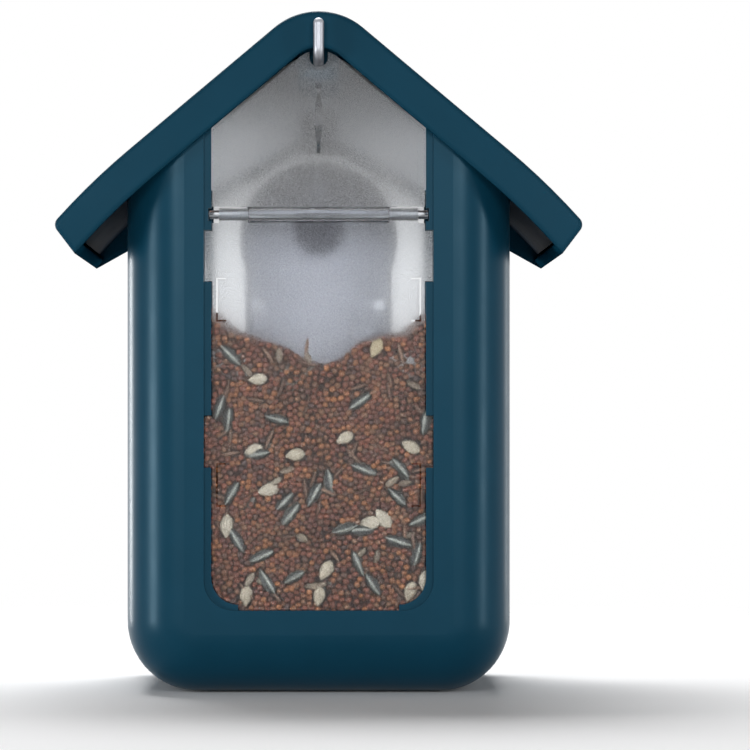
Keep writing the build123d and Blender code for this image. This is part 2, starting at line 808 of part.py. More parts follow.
# Gable liner: a pale plate above the bin's front plate, inside the gable's dark wall
with BuildPart() as gable_liner:
    with BuildSketch(at_y(bin_front_y)):
        draw_under_roof(roof_skin + 2 * seat_gap, -overrun)
        Rectangle(2 * (bin_half + bin_wall), 2 * ridge_height, mode=Mode.INTERSECT)
    extrude(amount=bin_wall)
    with BuildSketch(at_y(bin_front_y)):
        draw_low_gable(plate_apex + 2 * seat_gap, bin_half + bin_wall + overrun, -2 * overrun, bin_wall)
    extrude(amount=bin_wall, mode=Mode.SUBTRACT)
    with BuildSketch(at_y(bin_front_y)):
        with Locations((0, clip_top + seat_gap)):
            Rectangle(clip_width + 2 * seat_gap, clip_boss_height + overrun, align=(Align.CENTER, Align.MAX))
        with Locations((0, rod_height)):
            Circle(rod_radius + slide_gap)
    extrude(amount=bin_wall, mode=Mode.SUBTRACT)
save(gable_liner, "gable_liner")

# Seed in the bin: a heap that dips in the middle and lies round the pocket, with large seeds on its faces
with BuildPart() as seed_fill:
    seed_half = bin_half - seat_gap
    heap_faces = (sheet_inside_y + seat_gap + seed_relief, bin_front_y - bin_wall - seat_gap - seed_relief)
    with BuildSketch(at_y(heap_faces[1])):
        with BuildLine():
            ThreePointArc(
                (-seed_half, seed_side_height), (seed_dip_x, seed_dip_height), (seed_half, seed_side_height)
            )
            Polyline(
                (seed_half, seed_side_height), (seed_half, 0), (-seed_half, 0), (-seed_half, seed_side_height)
            )
        make_face()
    extrude_between(heap_faces[0], heap_faces[1])
    for side, face_y in zip(sides, heap_faces):
        with BuildSketch(Plane(origin=(0, face_y, 0), x_dir=(-side, 0, 0), z_dir=(0, side, 0))):
            for across, up, turn in bin_seed_shares:
                with Locations((across * seed_half, up * seed_side_height)):
                    add(large_seed.sketch, rotation=turn)
        extrude(amount=seed_relief, taper=large_seed_taper)
    with BuildSketch(Plane.YZ.offset(-bin_half)):
        with BuildLine():
            Polyline(
                (-bin_front_y, 0),
                (bin_front_y, 0),
                (bin_front_y, bin_floor_front + seat_gap),
                (-bin_front_y, bin_floor_rear + seat_gap),
                close=True,
            )
        make_face()
    extrude(amount=bin_inner_width, mode=Mode.SUBTRACT)
    with BuildSketch(at_y(bin_front_y)):
        draw_module(pocket_grow + seat_gap)
    extrude_between(pocket_face_y - bin_wall - seat_gap, bin_front_y, mode=Mode.SUBTRACT)
save(seed_fill, "seed_fill")

# Rear panel: the clear sheet below the hinge bar, with ears in the notches, a foot and snap tabs
with BuildPart() as rear_panel:
    panel_top = hinge_height - door_knuckle_radius - slide_gap
    with BuildSketch(at_y(sheet_inside_y)):
        with BuildLine():
            Polyline(
                (-sheet_half_width, window_sill + lip_rise + seat_gap),
                (sheet_half_width, window_sill + lip_rise + seat_gap),
                (sheet_half_width, panel_top),
                (-sheet_half_width, panel_top),
                close=True,
            )
        make_face()
        fillet(vertices().group_by(Axis.Y)[0], lip_corner_radius - slide_gap)
        for height in notch_heights:
            with Locations((0, height)):
                Rectangle(window_width - 2 * seat_gap, notch_height - 2 * seat_gap)
        foot_height = lip_rise + lip_corner_radius
        with Locations((0, window_sill + seat_gap)):
            Rectangle(lip_gap_width - 2 * seat_gap, foot_height, align=(Align.CENTER, Align.MIN))
        for side in sides:
            knuckle_x = side * (door_knuckle_length / 2 + seat_gap + panel_knuckle_length / 2)
            with Locations((knuckle_x, panel_top)):
                room = hinge_height - panel_top
                Rectangle(panel_knuckle_length, 2 * room)
            for height in notch_heights:
                tab_top = height - notch_height / 2 + tab_drop
                tab_x = side * (sheet_half_width - tab_inset)
                with Locations((tab_x, tab_top - tab_height / 2)):
                    Rectangle(tab_slit, tab_height, mode=Mode.SUBTRACT)
                for foot_z in (tab_top - tab_slit / 2, tab_top - tab_height + tab_slit / 2):
                    with Locations((tab_x - side * tab_foot / 2, foot_z)):
                        Rectangle(tab_foot, tab_slit, mode=Mode.SUBTRACT)
    extrude(amount=clear_sheet)
    for side in sides:
        knuckle_start = side * (door_knuckle_length / 2 + seat_gap)
        with BuildSketch(Plane.YZ.offset(knuckle_start)):
            with Locations((hinge_y, hinge_height)):
                Circle(panel_knuckle_radius)
        extrude(amount=side * panel_knuckle_length)
    with BuildSketch(Plane.YZ.offset(-pin_length / 2)):
        with Locations((hinge_y, hinge_height)):
            Circle(pin_radius + running_gap)
    extrude(amount=pin_length, mode=Mode.SUBTRACT)
save(rear_panel, "rear_panel")

# Hinge pin, whose ends seat in the shell's lip
with BuildPart() as hinge_pin:
    with BuildSketch(Plane.YZ.offset(-pin_length / 2)):
        with Locations((hinge_y, hinge_height)):
            Circle(pin_radius)
    extrude(amount=pin_length)
save(hinge_pin, "hinge_pin")

# Door pull: a thin fin with a waist, a belly and a square foot, seen edge-on from behind
with BuildPart() as door_pull:
    with BuildSketch(at_y(sheet_inside_y - clear_sheet / 2)):
        with BuildLine():
            half_pull = door_pull_width / 2
            half_waist = door_pull_waist / 2
            neck_z = door_pull_top - pull_neck_share * door_pull_height
            waist_z = door_pull_top - pull_waist_share * door_pull_height
            belly_z = door_pull_top - pull_belly_share * door_pull_height
            foot_z = door_pull_top - pull_foot_share * door_pull_height
            end_z = door_pull_top - door_pull_height
            Polyline((0, door_pull_top), (half_pull, door_pull_top), (half_waist, neck_z))
            Line((half_waist, neck_z), (half_waist, waist_z))
            ThreePointArc((half_waist, waist_z), (half_pull, belly_z), (half_waist, foot_z))
            Polyline((half_waist, foot_z), (half_waist, end_z), (0, end_z))
            mirror(about=Plane.YZ)
        make_face()
    extrude(amount=door_pull_reach + clear_sheet / 2)
    with BuildSketch(Plane.YZ.offset(-door_pull_width)):
        with BuildLine():
            base_y = sheet_inside_y
            tip_y = lip_face_y - door_pull_reach
            ThreePointArc((lip_face_y, door_pull_top), (tip_y, belly_z), (lip_face_y, end_z))
            Polyline((lip_face_y, end_z), (base_y, end_z), (base_y, door_pull_top))
            Line((base_y, door_pull_top), (lip_face_y, door_pull_top))
        make_face()
    extrude(amount=2 * door_pull_width, mode=Mode.INTERSECT)

# Rear door: the clear gable-shaped flap above the hinge bar, with side rims, a slot and its pull
with BuildPart() as rear_door:
    door_foot = hinge_height + door_knuckle_radius + seat_gap / 2
    with BuildSketch(at_y(sheet_inside_y)):
        draw_under_roof(fascia_depth + door_fascia_gap, 0)
        with Locations((0, door_foot)):
            Rectangle(
                2 * sheet_half_width, ridge_height, align=(Align.CENTER, Align.MIN), mode=Mode.INTERSECT
            )
        with Locations((0, door_foot)):
            Rectangle(door_knuckle_length, 2 * (door_foot - hinge_height))
    extrude(amount=clear_sheet)
    with BuildSketch(at_y(sheet_inside_y + door_rim_depth)):
        draw_under_roof(fascia_depth + door_fascia_gap, 0)
        with Locations((0, door_foot)):
            Rectangle(
                2 * sheet_half_width, ridge_height, align=(Align.CENTER, Align.MIN), mode=Mode.INTERSECT
            )
        Rectangle(2 * (sheet_half_width - door_rim_width), 2 * ridge_height, mode=Mode.SUBTRACT)
    extrude(amount=door_rim_depth)
    with BuildSketch(Plane.YZ.offset(-door_knuckle_length / 2)):
        with Locations((hinge_y, hinge_height)):
            Circle(door_knuckle_radius)
    extrude(amount=door_knuckle_length)
    with BuildSketch(Plane.YZ.offset(-door_knuckle_length)):
        with Locations((hinge_y, hinge_height)):
            Circle(pin_radius + running_gap)
    extrude(amount=2 * door_knuckle_length, mode=Mode.SUBTRACT)
    with BuildSketch(at_y(sheet_inside_y + overrun)):
        with Locations((0, door_slot_height)):
            Circle(door_slot_width / 2)
            Rectangle(door_slot_width, ridge_height, align=(Align.CENTER, Align.MIN))
    extrude(amount=2 * overrun, mode=Mode.SUBTRACT)
    add(door_pull.part)
save(rear_door, "rear_door")

# Dock clip: a bent strip that holds the top of the pocket down, and its screw
with BuildPart() as dock_clip:
    clip_face_y = bin_front_y - bin_wall - seat_gap
    clip_foot = head_height + head_radius + pocket_grow + seat_gap
    with BuildSketch(Plane.YZ.offset(-clip_width / 2)):
        with BuildLine():
            Polyline(
                (clip_face_y, clip_top),
                (clip_face_y, clip_foot),
                (clip_face_y - clip_foot_length, clip_foot),
                (clip_face_y - clip_foot_length, clip_foot + clip_thickness),
                (clip_face_y - clip_thickness, clip_foot + clip_thickness),
                (clip_face_y - clip_thickness, clip_top),
                close=True,
            )
        make_face()
    extrude(amount=clip_width)
    with BuildSketch(at_y(clip_face_y)):
        with Locations((0, clip_screw_height)):
            Circle(clip_screw_radius + screw_play)
    extrude(amount=clip_thickness, mode=Mode.SUBTRACT)
save(dock_clip, "dock_clip")
with BuildPart() as clip_screw:
    seat = Plane(origin=(0, clip_face_y - clip_thickness, clip_screw_height), z_dir=(0, 1, 0))
    screw(seat, clip_screw_radius, clip_screw_length, clip_screw_head_radius, clip_screw_head_height)
save(clip_screw, "clip_screw")

# Threaded insert and feet in the base
with BuildPart() as mount_insert:
    with BuildSketch(Plane.XY.offset(foot_proud)):
        Circle(insert_radius)
        Circle(insert_bore_radius, mode=Mode.SUBTRACT)
    extrude(amount=insert_length)
save(mount_insert, "mount_insert")
with BuildPart() as feet:
    with BuildSketch(Plane.XY):
        with GridLocations(2 * foot_x, 2 * foot_y, 2, 2):
            Circle(foot_radius)
    extrude(amount=foot_depth)
save(feet, "feet")

# Seed tray: an open dish in front of the bin, a tongue on the shell's rails, and arms for the perch
tray_length = tray_end_y - tray_start_y
with BuildPart() as seed_tray:
    with BuildSketch(Plane.XY.offset(tray_foot)):
        with Locations((0, tray_start_y)):
            Rectangle(tray_width, tray_length, align=(Align.CENTER, Align.MIN))
        fillet(vertices().group_by(Axis.Y)[-1], tray_corner_radius)
    extrude(amount=tray_rim_height - tray_foot)
    fillet(faces().sort_by(Axis.Z)[0].edges().sort_by(Axis.Y)[1:], tray_edge_radius)
    with BuildSketch(Plane.XY.offset(tray_foot + tray_wall)):
        with Locations((0, tray_start_y - overrun)):
            Rectangle(
                tray_width - 2 * tray_wall,
                tray_length + overrun - tray_wall,
                align=(Align.CENTER, Align.MIN),
            )
        fillet(vertices().group_by(Axis.Y)[-1], tray_corner_radius - tray_wall)
    extrude(amount=tray_rim_height, mode=Mode.SUBTRACT)
    with BuildSketch(Plane.XY.offset(tray_foot - tray_wall)):
        with Locations((0, tongue_start_y)):
            tongue_length = tray_start_y + tongue_root - tongue_start_y
            Rectangle(tongue_width, tongue_length, align=(Align.CENTER, Align.MIN))
    extrude(amount=tray_wall)
    for side in sides:
        with BuildSketch(Plane.YZ.offset(side * arm_place - arm_width / 2)):
            with Locations((perch_y, perch_height)):
                Circle(perch_radius + arm_wall)
            with Locations((perch_y, perch_height)):
                Rectangle(
                    perch_gap + perch_radius + tray_wall / 2,
                    2 * perch_radius,
                    align=(Align.MAX, Align.CENTER),
                )
        extrude(amount=arm_width)
    with BuildSketch(Plane.YZ.offset(-perch_length / 2)):
        with Locations((perch_y, perch_height)):
            Circle(perch_radius + running_gap)
    extrude(amount=perch_length, mode=Mode.SUBTRACT)
save(seed_tray, "seed_tray")

# Perch: a round bar with rounded ends
with BuildPart() as perch:
    with BuildSketch(Plane.YZ.offset(-perch_length / 2)):
        with Locations((perch_y, perch_height)):
            Circle(perch_radius)
    extrude(amount=perch_length)
    fillet(edges().filter_by(GeomType.CIRCLE), perch_end_radius)
save(perch, "perch")

# Seed in the tray: a wedge that has run out of the bin, with large seeds on its slope
with BuildPart() as tray_seed:
    seed_floor = tray_foot + tray_wall + seat_gap
    wedge_start = Vector(0, tray_start_y + seat_gap, tray_seed_rear - tray_seed_relief)
    wedge_end = Vector(0, tray_end_y - tray_wall - seat_gap, tray_seed_front - tray_seed_relief)
    with BuildSketch(Plane.YZ.offset(-tray_width / 2)):
        with BuildLine():
            Polyline(
                (wedge_start.Y, seed_floor),
                (wedge_end.Y, seed_floor),
                (wedge_end.Y, wedge_end.Z),
                (wedge_start.Y, wedge_start.Z),
                close=True,
            )
        make_face()
    extrude(amount=tray_width)
    slope = wedge_end - wedge_start
    across_slope = Vector(1, 0, 0)
    with BuildSketch(Plane(origin=wedge_start, x_dir=across_slope, z_dir=across_slope.cross(slope))):
        for across, out, turn in tray_seed_shares:
            with Locations((across * tray_width / 2, out * slope.length)):
                add(large_seed.sketch, rotation=turn)
    extrude(amount=tray_seed_relief * slope.Y / slope.length, taper=large_seed_taper)
    with BuildSketch(Plane.XY):
        with Locations((0, tray_start_y)):
            Rectangle(
                tray_width - 2 * (tray_wall + seat_gap),
                tray_length - tray_wall - seat_gap,
                align=(Align.CENTER, Align.MIN),
            )
        fillet(vertices().group_by(Axis.Y)[-1], tray_corner_radius - tray_wall - seat_gap)
    extrude(amount=tray_rim_height + overrun, mode=Mode.INTERSECT)
save(tray_seed, "tray_seed")


def case_places(x):
    """The four places of the case screws, seen from behind."""
    return [(side * x, height) for side in sides for height in case_screw_heights]


# Module front: half of the case, with seats for the lens ring, the motion window and the light
with BuildPart() as module_front:
    with BuildSketch(at_y(module_front_y)):
        draw_module(0)
    extrude_between(split_front_y, module_front_y)
    fillet(faces().sort_by(Axis.Y)[-1].edges(), module_edge_radius)
    with BuildSketch(at_y(case_front_inside_y)):
        draw_module(-module_wall)
    extrude_between(split_front_y, case_front_inside_y, mode=Mode.SUBTRACT)
    with BuildSketch(at_y(case_front_inside_y)):
        with Locations(*case_places(case_screw_x)):
            Circle(case_boss_radius)
        with Locations(*[(side * post_x, height) for side in sides for height in post_heights]):
            Circle(post_radius)
    extrude_between(board_front_y, case_front_inside_y)
    with BuildSketch(at_y(board_front_y)):
        with Locations(*case_places(case_screw_x)):
            Circle(case_boss_radius)
    extrude_between(split_front_y, board_front_y)
    with BuildSketch(at_y(split_front_y + case_screw_length / 2)):
        with Locations(*case_places(case_screw_x)):
            Circle(case_screw_radius + screw_play)
    extrude_between(split_front_y, split_front_y + case_screw_length / 2, mode=Mode.SUBTRACT)
    with BuildSketch(at_y(module_front_y + overrun)):
        with Locations((0, head_height)):
            Circle(lens_ring_radius + seat_gap)
    extrude_between(ring_seat_y, module_front_y + overrun, mode=Mode.SUBTRACT)
    with BuildSketch(at_y(module_front_y + overrun)):
        with Locations((0, head_height)):
            Circle(lens_ring_bore + lens_ring_neck_wall + seat_gap)
        with Locations((0, motion_height)):
            Circle(motion_radius + seat_gap)
        with Locations((0, light_height)):
            Circle(light_radius + seat_gap)
    extrude_between(case_front_inside_y, module_front_y + overrun, mode=Mode.SUBTRACT)
save(module_front, "module_front")

# Module back: the other half, with openings for the port plug and the power button
with BuildPart() as module_back:
    with BuildSketch(at_y(split_back_y)):
        draw_module(0)
    extrude_between(module_back_y, split_back_y)
    fillet(faces().sort_by(Axis.Y)[0].edges(), module_edge_radius)
    with BuildSketch(at_y(split_back_y)):
        draw_module(-module_wall)
    extrude_between(case_back_inside_y, split_back_y, mode=Mode.SUBTRACT)
    with BuildSketch(at_y(split_back_y)):
        with Locations(*case_places(case_screw_x)):
            Circle(case_boss_radius)
    extrude_between(case_back_inside_y, split_back_y)
    with BuildSketch(at_y(split_back_y)):
        with Locations(*case_places(case_screw_x)):
            Circle(case_screw_radius + screw_play)
    extrude_between(module_back_y, split_back_y, mode=Mode.SUBTRACT)
    with BuildSketch(at_y(module_back_y + case_screw_head_height)):
        with Locations(*case_places(case_screw_x)):
            Circle(case_screw_head_radius + screw_play)
    extrude(amount=case_screw_head_height + overrun, mode=Mode.SUBTRACT)
    with BuildSketch(at_y(case_back_inside_y)):
        with Locations((0, port_height)):
            Circle(plug_neck_radius + running_gap)
        with Locations((0, button_height)):
            Circle(button_radius + seat_gap)
    extrude(amount=module_wall, mode=Mode.SUBTRACT)
save(module_back, "module_back")

# Gasket between the two halves
with BuildPart() as case_gasket:
    with BuildSketch(at_y(split_front_y)):
        draw_module(-gasket_inset)
        with BuildSketch(mode=Mode.PRIVATE) as gasket_room:
            draw_module(-gasket_inset - gasket_width)
        add(gasket_room.sketch, mode=Mode.SUBTRACT)
    extrude_between(split_back_y, split_front_y)
save(case_gasket, "case_gasket")

# Case screws, from the back into the front's bosses
with BuildPart() as case_screws:
    for x, height in case_places(case_screw_x):
        seat = Plane(origin=(x, module_back_y + case_screw_head_height, height), z_dir=(0, 1, 0))
        screw(seat, case_screw_radius, case_screw_length, case_screw_head_radius, case_screw_head_height)
save(case_screws, "case_screws")


def lens_profile(points):
    """A ring or disc turned about the lens axis from its radius and y pairs."""
    with BuildSketch(Plane.YZ) as profile:
        with BuildLine() as outline:
            Polyline(*[(y, head_height + radius) for radius, y in points], close=True)
        make_face(outline.line)
    axis = Axis((0, 0, head_height), (0, 1, 0))
    revolve(profile.sketch, axis=axis)


# Lens ring: a raised bezel with a neck through the case and a ledge for the cover
with BuildPart() as lens_ring:
    neck_radius = lens_ring_bore + lens_ring_neck_wall
    neck_end_y = ring_seat_y - lens_ring_neck_length
    lens_profile(
        (
            (lens_ring_bore - lens_ledge, neck_end_y),
            (neck_radius, neck_end_y),
            (neck_radius, ring_seat_y),
            (lens_ring_radius, ring_seat_y),
            (lens_ring_radius, ring_front_y - lens_ring_seat),
            (lens_ring_radius - lens_ring_seat, ring_front_y),
            (lens_ring_bore + lens_ring_seat, ring_front_y),
            (lens_ring_bore, ring_front_y - lens_ring_seat),
            (lens_ring_bore, cover_seat_y),
            (lens_ring_bore - lens_ledge, cover_seat_y),
        )
    )
save(lens_ring, "lens_ring")

# Lens cover: a slightly domed clear disc on the ring's ledge
with BuildPart() as lens_cover:
    with BuildSketch(Plane.YZ):
        with BuildLine():
            cover_radius = lens_ring_bore - running_gap
            rim_y = cover_seat_y + lens_cover_thickness
            crown_y = rim_y + lens_cover_dome
            Polyline(
                (crown_y, head_height),
                (cover_seat_y, head_height),
                (cover_seat_y, head_height + cover_radius),
                (rim_y, head_height + cover_radius),
            )
            TangentArc(
                (crown_y, head_height),
                (rim_y, head_height + cover_radius),
                tangent=(0, 1),
            )
        make_face()
    revolve(axis=Axis((0, 0, head_height), (0, 1, 0)))
save(lens_cover, "lens_cover")

# Lens barrel on the board, with its front element and the image sensor inside its base
barrel_end_y = board_front_y + barrel_length
with BuildPart() as lens_barrel:
    lens_profile(
        (
            (barrel_base_bore, board_front_y),
            (barrel_radius, board_front_y),
            (barrel_radius, barrel_end_y),
            (barrel_bore, barrel_end_y),
            (barrel_bore, board_front_y + barrel_base_depth),
            (barrel_base_bore, board_front_y + barrel_base_depth),
        )
    )
save(lens_barrel, "lens_barrel")
with BuildPart() as lens_element:
    with BuildSketch(at_y(barrel_end_y - element_setback)):
        with Locations((0, head_height)):
            Circle(barrel_bore - running_gap)
    extrude(amount=element_thickness)
save(lens_element, "lens_element")
with BuildPart() as image_sensor:
    with BuildSketch(at_y(board_front_y + sensor_thickness)):
        with Locations((0, head_height)):
            Rectangle(sensor_size, sensor_size)
    extrude(amount=sensor_thickness)
save(image_sensor, "image_sensor")

# Main board, with a domed top that follows the case
with BuildPart() as main_board:
    with BuildSketch(at_y(board_front_y)):
        draw_module(-board_margin)
        with Locations((0, board_foot)):
            Rectangle(
                board_width, ridge_height, align=(Align.CENTER, Align.MIN), mode=Mode.INTERSECT
            )
    extrude(amount=board_thickness)
save(main_board, "main_board")

# Battery cell behind the board
with BuildPart() as battery_cell:
    battery_back_y = case_back_inside_y + seat_gap
    with BuildSketch(at_y(battery_back_y + battery_thickness)):
        with Locations((0, battery_foot)):
            Rectangle(battery_width, battery_height, align=(Align.CENTER, Align.MIN))
    extrude(amount=battery_thickness)
    fillet(edges().filter_by(Axis.Z), battery_edge_radius)
save(battery_cell, "battery_cell")

# Charging port on the back of the board, and the round plug that covers it
with BuildPart() as charge_port:
    with BuildSketch(at_y(board_back_y)):
        with Locations((0, port_height)):
            SlotOverall(port_width, port_body_height)
    extrude_between(port_back_y, board_back_y)
    with BuildSketch(at_y(port_back_y + port_depth)):
        with Locations((0, port_height)):
            SlotOverall(port_width - 2 * port_wall, port_body_height - 2 * port_wall)
    extrude(amount=port_depth, mode=Mode.SUBTRACT)
save(charge_port, "charge_port")
with BuildPart() as port_plug:
    with BuildSketch(at_y(module_back_y)):
        with Locations((0, port_height)):
            Circle(plug_radius)
    extrude(amount=plug_lip)
    fillet(faces().sort_by(Axis.Y)[0].edges(), plug_lip / 2)
    with BuildSketch(at_y(module_back_y + plug_neck_length)):
        with Locations((0, port_height)):
            Circle(plug_neck_radius)
    extrude(amount=plug_neck_length)
save(port_plug, "port_plug")

# Power button and the switch that it presses
with BuildPart() as power_button:
    with BuildSketch(at_y(module_back_y - button_proud + button_length)):
        with Locations((0, button_height)):
            Circle(button_radius)
    extrude(amount=button_length)
    fillet(faces().sort_by(Axis.Y)[0].edges(), button_edge_radius)
    with BuildSketch(at_y(case_back_inside_y + seat_gap + button_flange_thickness)):
        with Locations((0, button_height)):
            Circle(button_flange_radius)
    extrude(amount=button_flange_thickness)
save(power_button, "power_button")
with BuildPart() as button_switch:
    with BuildSketch(at_y(board_back_y)):
        with Locations((0, button_height)):
            Rectangle(switch_size, switch_size)
    extrude_between(switch_back_y, board_back_y)
save(button_switch, "button_switch")

# Motion window: a domed cap with a lip behind the case front
with BuildPart() as motion_window:
    with BuildSketch(at_y(case_front_inside_y)):
        with Locations((0, motion_height)):
            Circle(motion_lip_radius)
    extrude(amount=motion_lip_thickness)
    with BuildSketch(Plane.YZ):
        with BuildLine():
            shoulder_y = module_front_y + motion_proud
            dome_y = shoulder_y + motion_dome
            Polyline(
                (dome_y, motion_height),
                (case_front_inside_y - motion_lip_thickness / 2, motion_height),
                (case_front_inside_y - motion_lip_thickness / 2, motion_height + motion_radius),
                (shoulder_y, motion_height + motion_radius),
            )
            TangentArc(
                (dome_y, motion_height),
                (shoulder_y, motion_height + motion_radius),
                tangent=(0, 1),
            )
        make_face()
    revolve(axis=Axis((0, 0, motion_height), (0, 1, 0)))
save(motion_window, "motion_window")

# Light pipe with a lip behind the case front
with BuildPart() as light_pipe:
    with BuildSketch(at_y(case_front_inside_y)):
        with Locations((0, light_height)):
            Circle(light_lip_radius)
    extrude(amount=light_lip_thickness)
    with BuildSketch(at_y(module_front_y + light_proud)):
        with Locations((0, light_height)):
            Circle(light_radius)
    extrude_between(case_front_inside_y - light_lip_thickness / 2, module_front_y + light_proud)
save(light_pipe, "light_pipe")
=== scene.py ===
"""Looks of a hanging house-shaped bird feeder, round the solids of its frame.

Metres. The frame's solids keep their shapes and get procedural materials. The two heaps of seed are
replaced by modelled grains. The camera stands behind the feeder, level with its window.
"""
import json
from math import cos, pi, radians, sin, sqrt

import bmesh
import bpy
import numpy as np
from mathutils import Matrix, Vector, kdtree


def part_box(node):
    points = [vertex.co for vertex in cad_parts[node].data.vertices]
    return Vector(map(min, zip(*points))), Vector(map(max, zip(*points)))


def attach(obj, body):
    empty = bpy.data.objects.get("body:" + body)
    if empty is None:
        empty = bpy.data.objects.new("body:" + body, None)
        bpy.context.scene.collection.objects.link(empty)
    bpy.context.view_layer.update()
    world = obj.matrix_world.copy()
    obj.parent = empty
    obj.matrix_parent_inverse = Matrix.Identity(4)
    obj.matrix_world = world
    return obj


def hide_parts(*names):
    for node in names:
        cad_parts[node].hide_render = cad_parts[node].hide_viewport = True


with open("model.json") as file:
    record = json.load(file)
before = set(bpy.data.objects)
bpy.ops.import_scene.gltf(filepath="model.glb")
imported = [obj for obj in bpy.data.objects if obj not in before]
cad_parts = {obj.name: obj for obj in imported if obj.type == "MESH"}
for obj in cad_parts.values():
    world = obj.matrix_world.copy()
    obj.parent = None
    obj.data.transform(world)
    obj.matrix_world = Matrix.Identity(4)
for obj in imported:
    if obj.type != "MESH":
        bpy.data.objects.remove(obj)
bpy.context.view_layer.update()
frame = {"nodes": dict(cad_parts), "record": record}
nodes = frame["nodes"]
MM = 0.001
rng = np.random.default_rng(11)  # the same grains on each run

# Camera: level, straight behind the feeder
camera_place = (0.0008, -1.365, 0.0914)
camera_lens = 186.0
camera_sensor = 36.0
camera_shift = (0.072, 0.0653)
camera_clip = (0.05, 20)

# Lamps: name, place, the point that they face, width and height, and power in watts
body_middle = (0, 0, 0.11)
lamps = (
    ("key", (-0.10, 0.55, 1.05), (0, 0, 0), (0.8, 0.5), 15.5),
    ("front_fill", (-0.25, -1.25, 0.66), body_middle, (0.5, 0.4), 0.6),
    ("window_left", (-0.38, -1.34, 0.31), body_middle, (0.36, 0.15), 3.8),
    ("window_right", (0.38, -1.34, 0.31), body_middle, (0.36, 0.15), 3.8),
    ("left_box", (-1.17, -0.56, 0.06), body_middle, (0.28, 0.28), 6.6),
    ("right_strip", (1.15, -0.61, 0.12), body_middle, (0.12, 0.4), 3.6),
    ("left_edge", (-1.00, 0.95, 0.13), body_middle, (0.12, 0.4), 4.2),
    ("right_edge", (1.00, 0.95, 0.13), body_middle, (0.12, 0.4), 0.8),
)
fill_strength = 0.08  # the world's light on surfaces that don't mirror it

# Floor: half its side, and the distances between which it fades into the world
floor_color = (0.93, 0.93, 0.935, 1)
floor_half = 1.6
floor_near, floor_far = 0.26, 0.62

# Surfaces: the size of their features, the swing of their roughness and the depth of their relief
noise_low, noise_high = 0.3, 0.7  # most values of noise lie between these
mottle_size = 14 * MM
gloss_size, gloss_swing = 12 * MM, 0.02
wave_size = 30 * MM
grazing_from, grazing_to = 0.80, 0.90  # where a mirror fades away, between face on, 0, and edge on, 1
edge_samples = 6
steel_mark_size, steel_mark_depth = 0.25 * MM, 0.004 * MM
steel_swing = (-0.08, 0.1)
cloud_size = 8 * MM
etched_size = 0.12 * MM
etched_edge = 0.56  # above this, the fine noise of an etched face counts as matt
flow_size, flow_depth = 22 * MM, 0.05 * MM
skin_depth = 0.04 * MM  # relief of seed skin

# The flap's fin and knuckles are polished: they lie past this depth or under this height
fin_y = -61.2 * MM
knuckle_z = 164.6 * MM
# Painted shade: two heights between which a colour darkens, and the share of it that is left, for the pale
# liner, the back of the camera module and the clear walls of the seed bin
liner_painted_shade = (192 * MM, 226 * MM, 0.3)
case_painted_shade = (152 * MM, 172 * MM, 0.25)
bin_painted_shade = (150 * MM, 178 * MM, 0.5)

# Seed: length, width and thickness of the large kinds
cream_size = (7.4 * MM, 4.5 * MM, 2.0 * MM)
striped_size = (9.6 * MM, 3.9 * MM, 2.5 * MM)
straw_size = (7.6 * MM, 1.3 * MM, 1.1 * MM)
husk_size = (5.6 * MM, 2.4 * MM, 1.1 * MM)
seed_swell = 0.62  # how fast a seed widens from its ends: less is faster
smallest_grain, largest_grain = 0.88, 1.1  # shares of the usual size
millet_radius = 1.1 * MM
millet_flatness = 0.9
millet_packing = 0.55  # share of the space that round grains fill
window_packing = 0.75  # share of the window that the grains against it cover
window_touch = 0.25 * MM  # how far from the window the grains against it may lie
second_layer = 1.5 * MM  # how far behind these the next ones begin
layer_depth = 4.6 * MM  # how deep the modelled grains go
clear_of_seed = 1.5  # least distance of the window's round grains from large seed, in their own radii
settle_rounds = 22
settle_step = 0.8  # share of each push that is taken
group_size = 2000  # most grains in one mesh
bin_slope = 0.10  # how steeply the bin's floor rises to the rear
# The heaps' dark inside is painted shade between the grains
core_inset = 3.4 * MM  # how deep in the heap its dark inside begins
core_roughness = 0.4 * MM
core_cuts = 7
# The crest of the heap behind the window: distance from the middle and height
crest_x = np.array((
    -41.0, -35.0, -29.0, -22.0, -12.0, -5.0, 2.0, 8.4, 13.8, 21.8, 29.7, 36.3, 41.0,
)) * MM
crest_z = np.array((
    129.0, 125.2, 121.0, 119.3, 116.6, 112.9, 110.7, 112.9, 117.6, 119.8, 119.8, 125.2, 129.0,
)) * MM
crest_rise = 5.0 * MM  # how much higher the heap lies against the pocket and the side walls
# Large seed that shows against the window: x, height and turn in degrees
cream_places = (
    (-22.0, 82.6, 20), (-7.9, 81.0, 10), (-16.9, 69.2, 15), (17.3, 58.1, 5), (22.0, 59.5, -50),
    (-24.5, 33.4, 85), (0.1, 33.2, 80), (31.0, 34.9, 70), (8.9, 86.7, 30), (31.1, 83.7, -30),
    (2.5, 42.0, 60), (36.0, 38.5, 80), (-31.0, 57.0, 85), (19.4, 117.0, 65), (-20.5, 106.5, 5),
)
striped_places = (
    (-29.4, 67.9, 60), (-19.3, 46.7, 25), (-8.2, 39.7, 30), (18.3, 37.3, -58), (27.7, 76.6, -50),
    (26.4, 66.9, -45), (27.0, 51.7, -18), (-29.7, 114.6, -45), (34.5, 59.0, 25), (-14.0, 93.0, -15),
    (9.0, 56.0, 15), (-33.5, 97.0, 70), (14.0, 99.0, 35), (36.0, 92.0, 80), (-27.5, 52.0, -60),
    (-1.5, 67.5, 60), (15.5, 76.0, -20),
)
# How many more lie anywhere behind the window, and the range of their x, height and turn
loose_striped = 22
loose_straws = 44
loose_husks = 16
loose_low, loose_high = (-36, 32, -180), (36, 117, 180)
# How far large seed lies from the window, and how much deeper loose ones may lie
listed_gap = 0.25 * MM
loose_gap = 0.15 * MM
striped_sink = 3.0 * MM
straw_sink = 2.2 * MM
husk_sink = 1.6 * MM
ball_shares = (-0.7, -0.35, 0.0, 0.35, 0.7)  # places of balls along a seed, of half its length

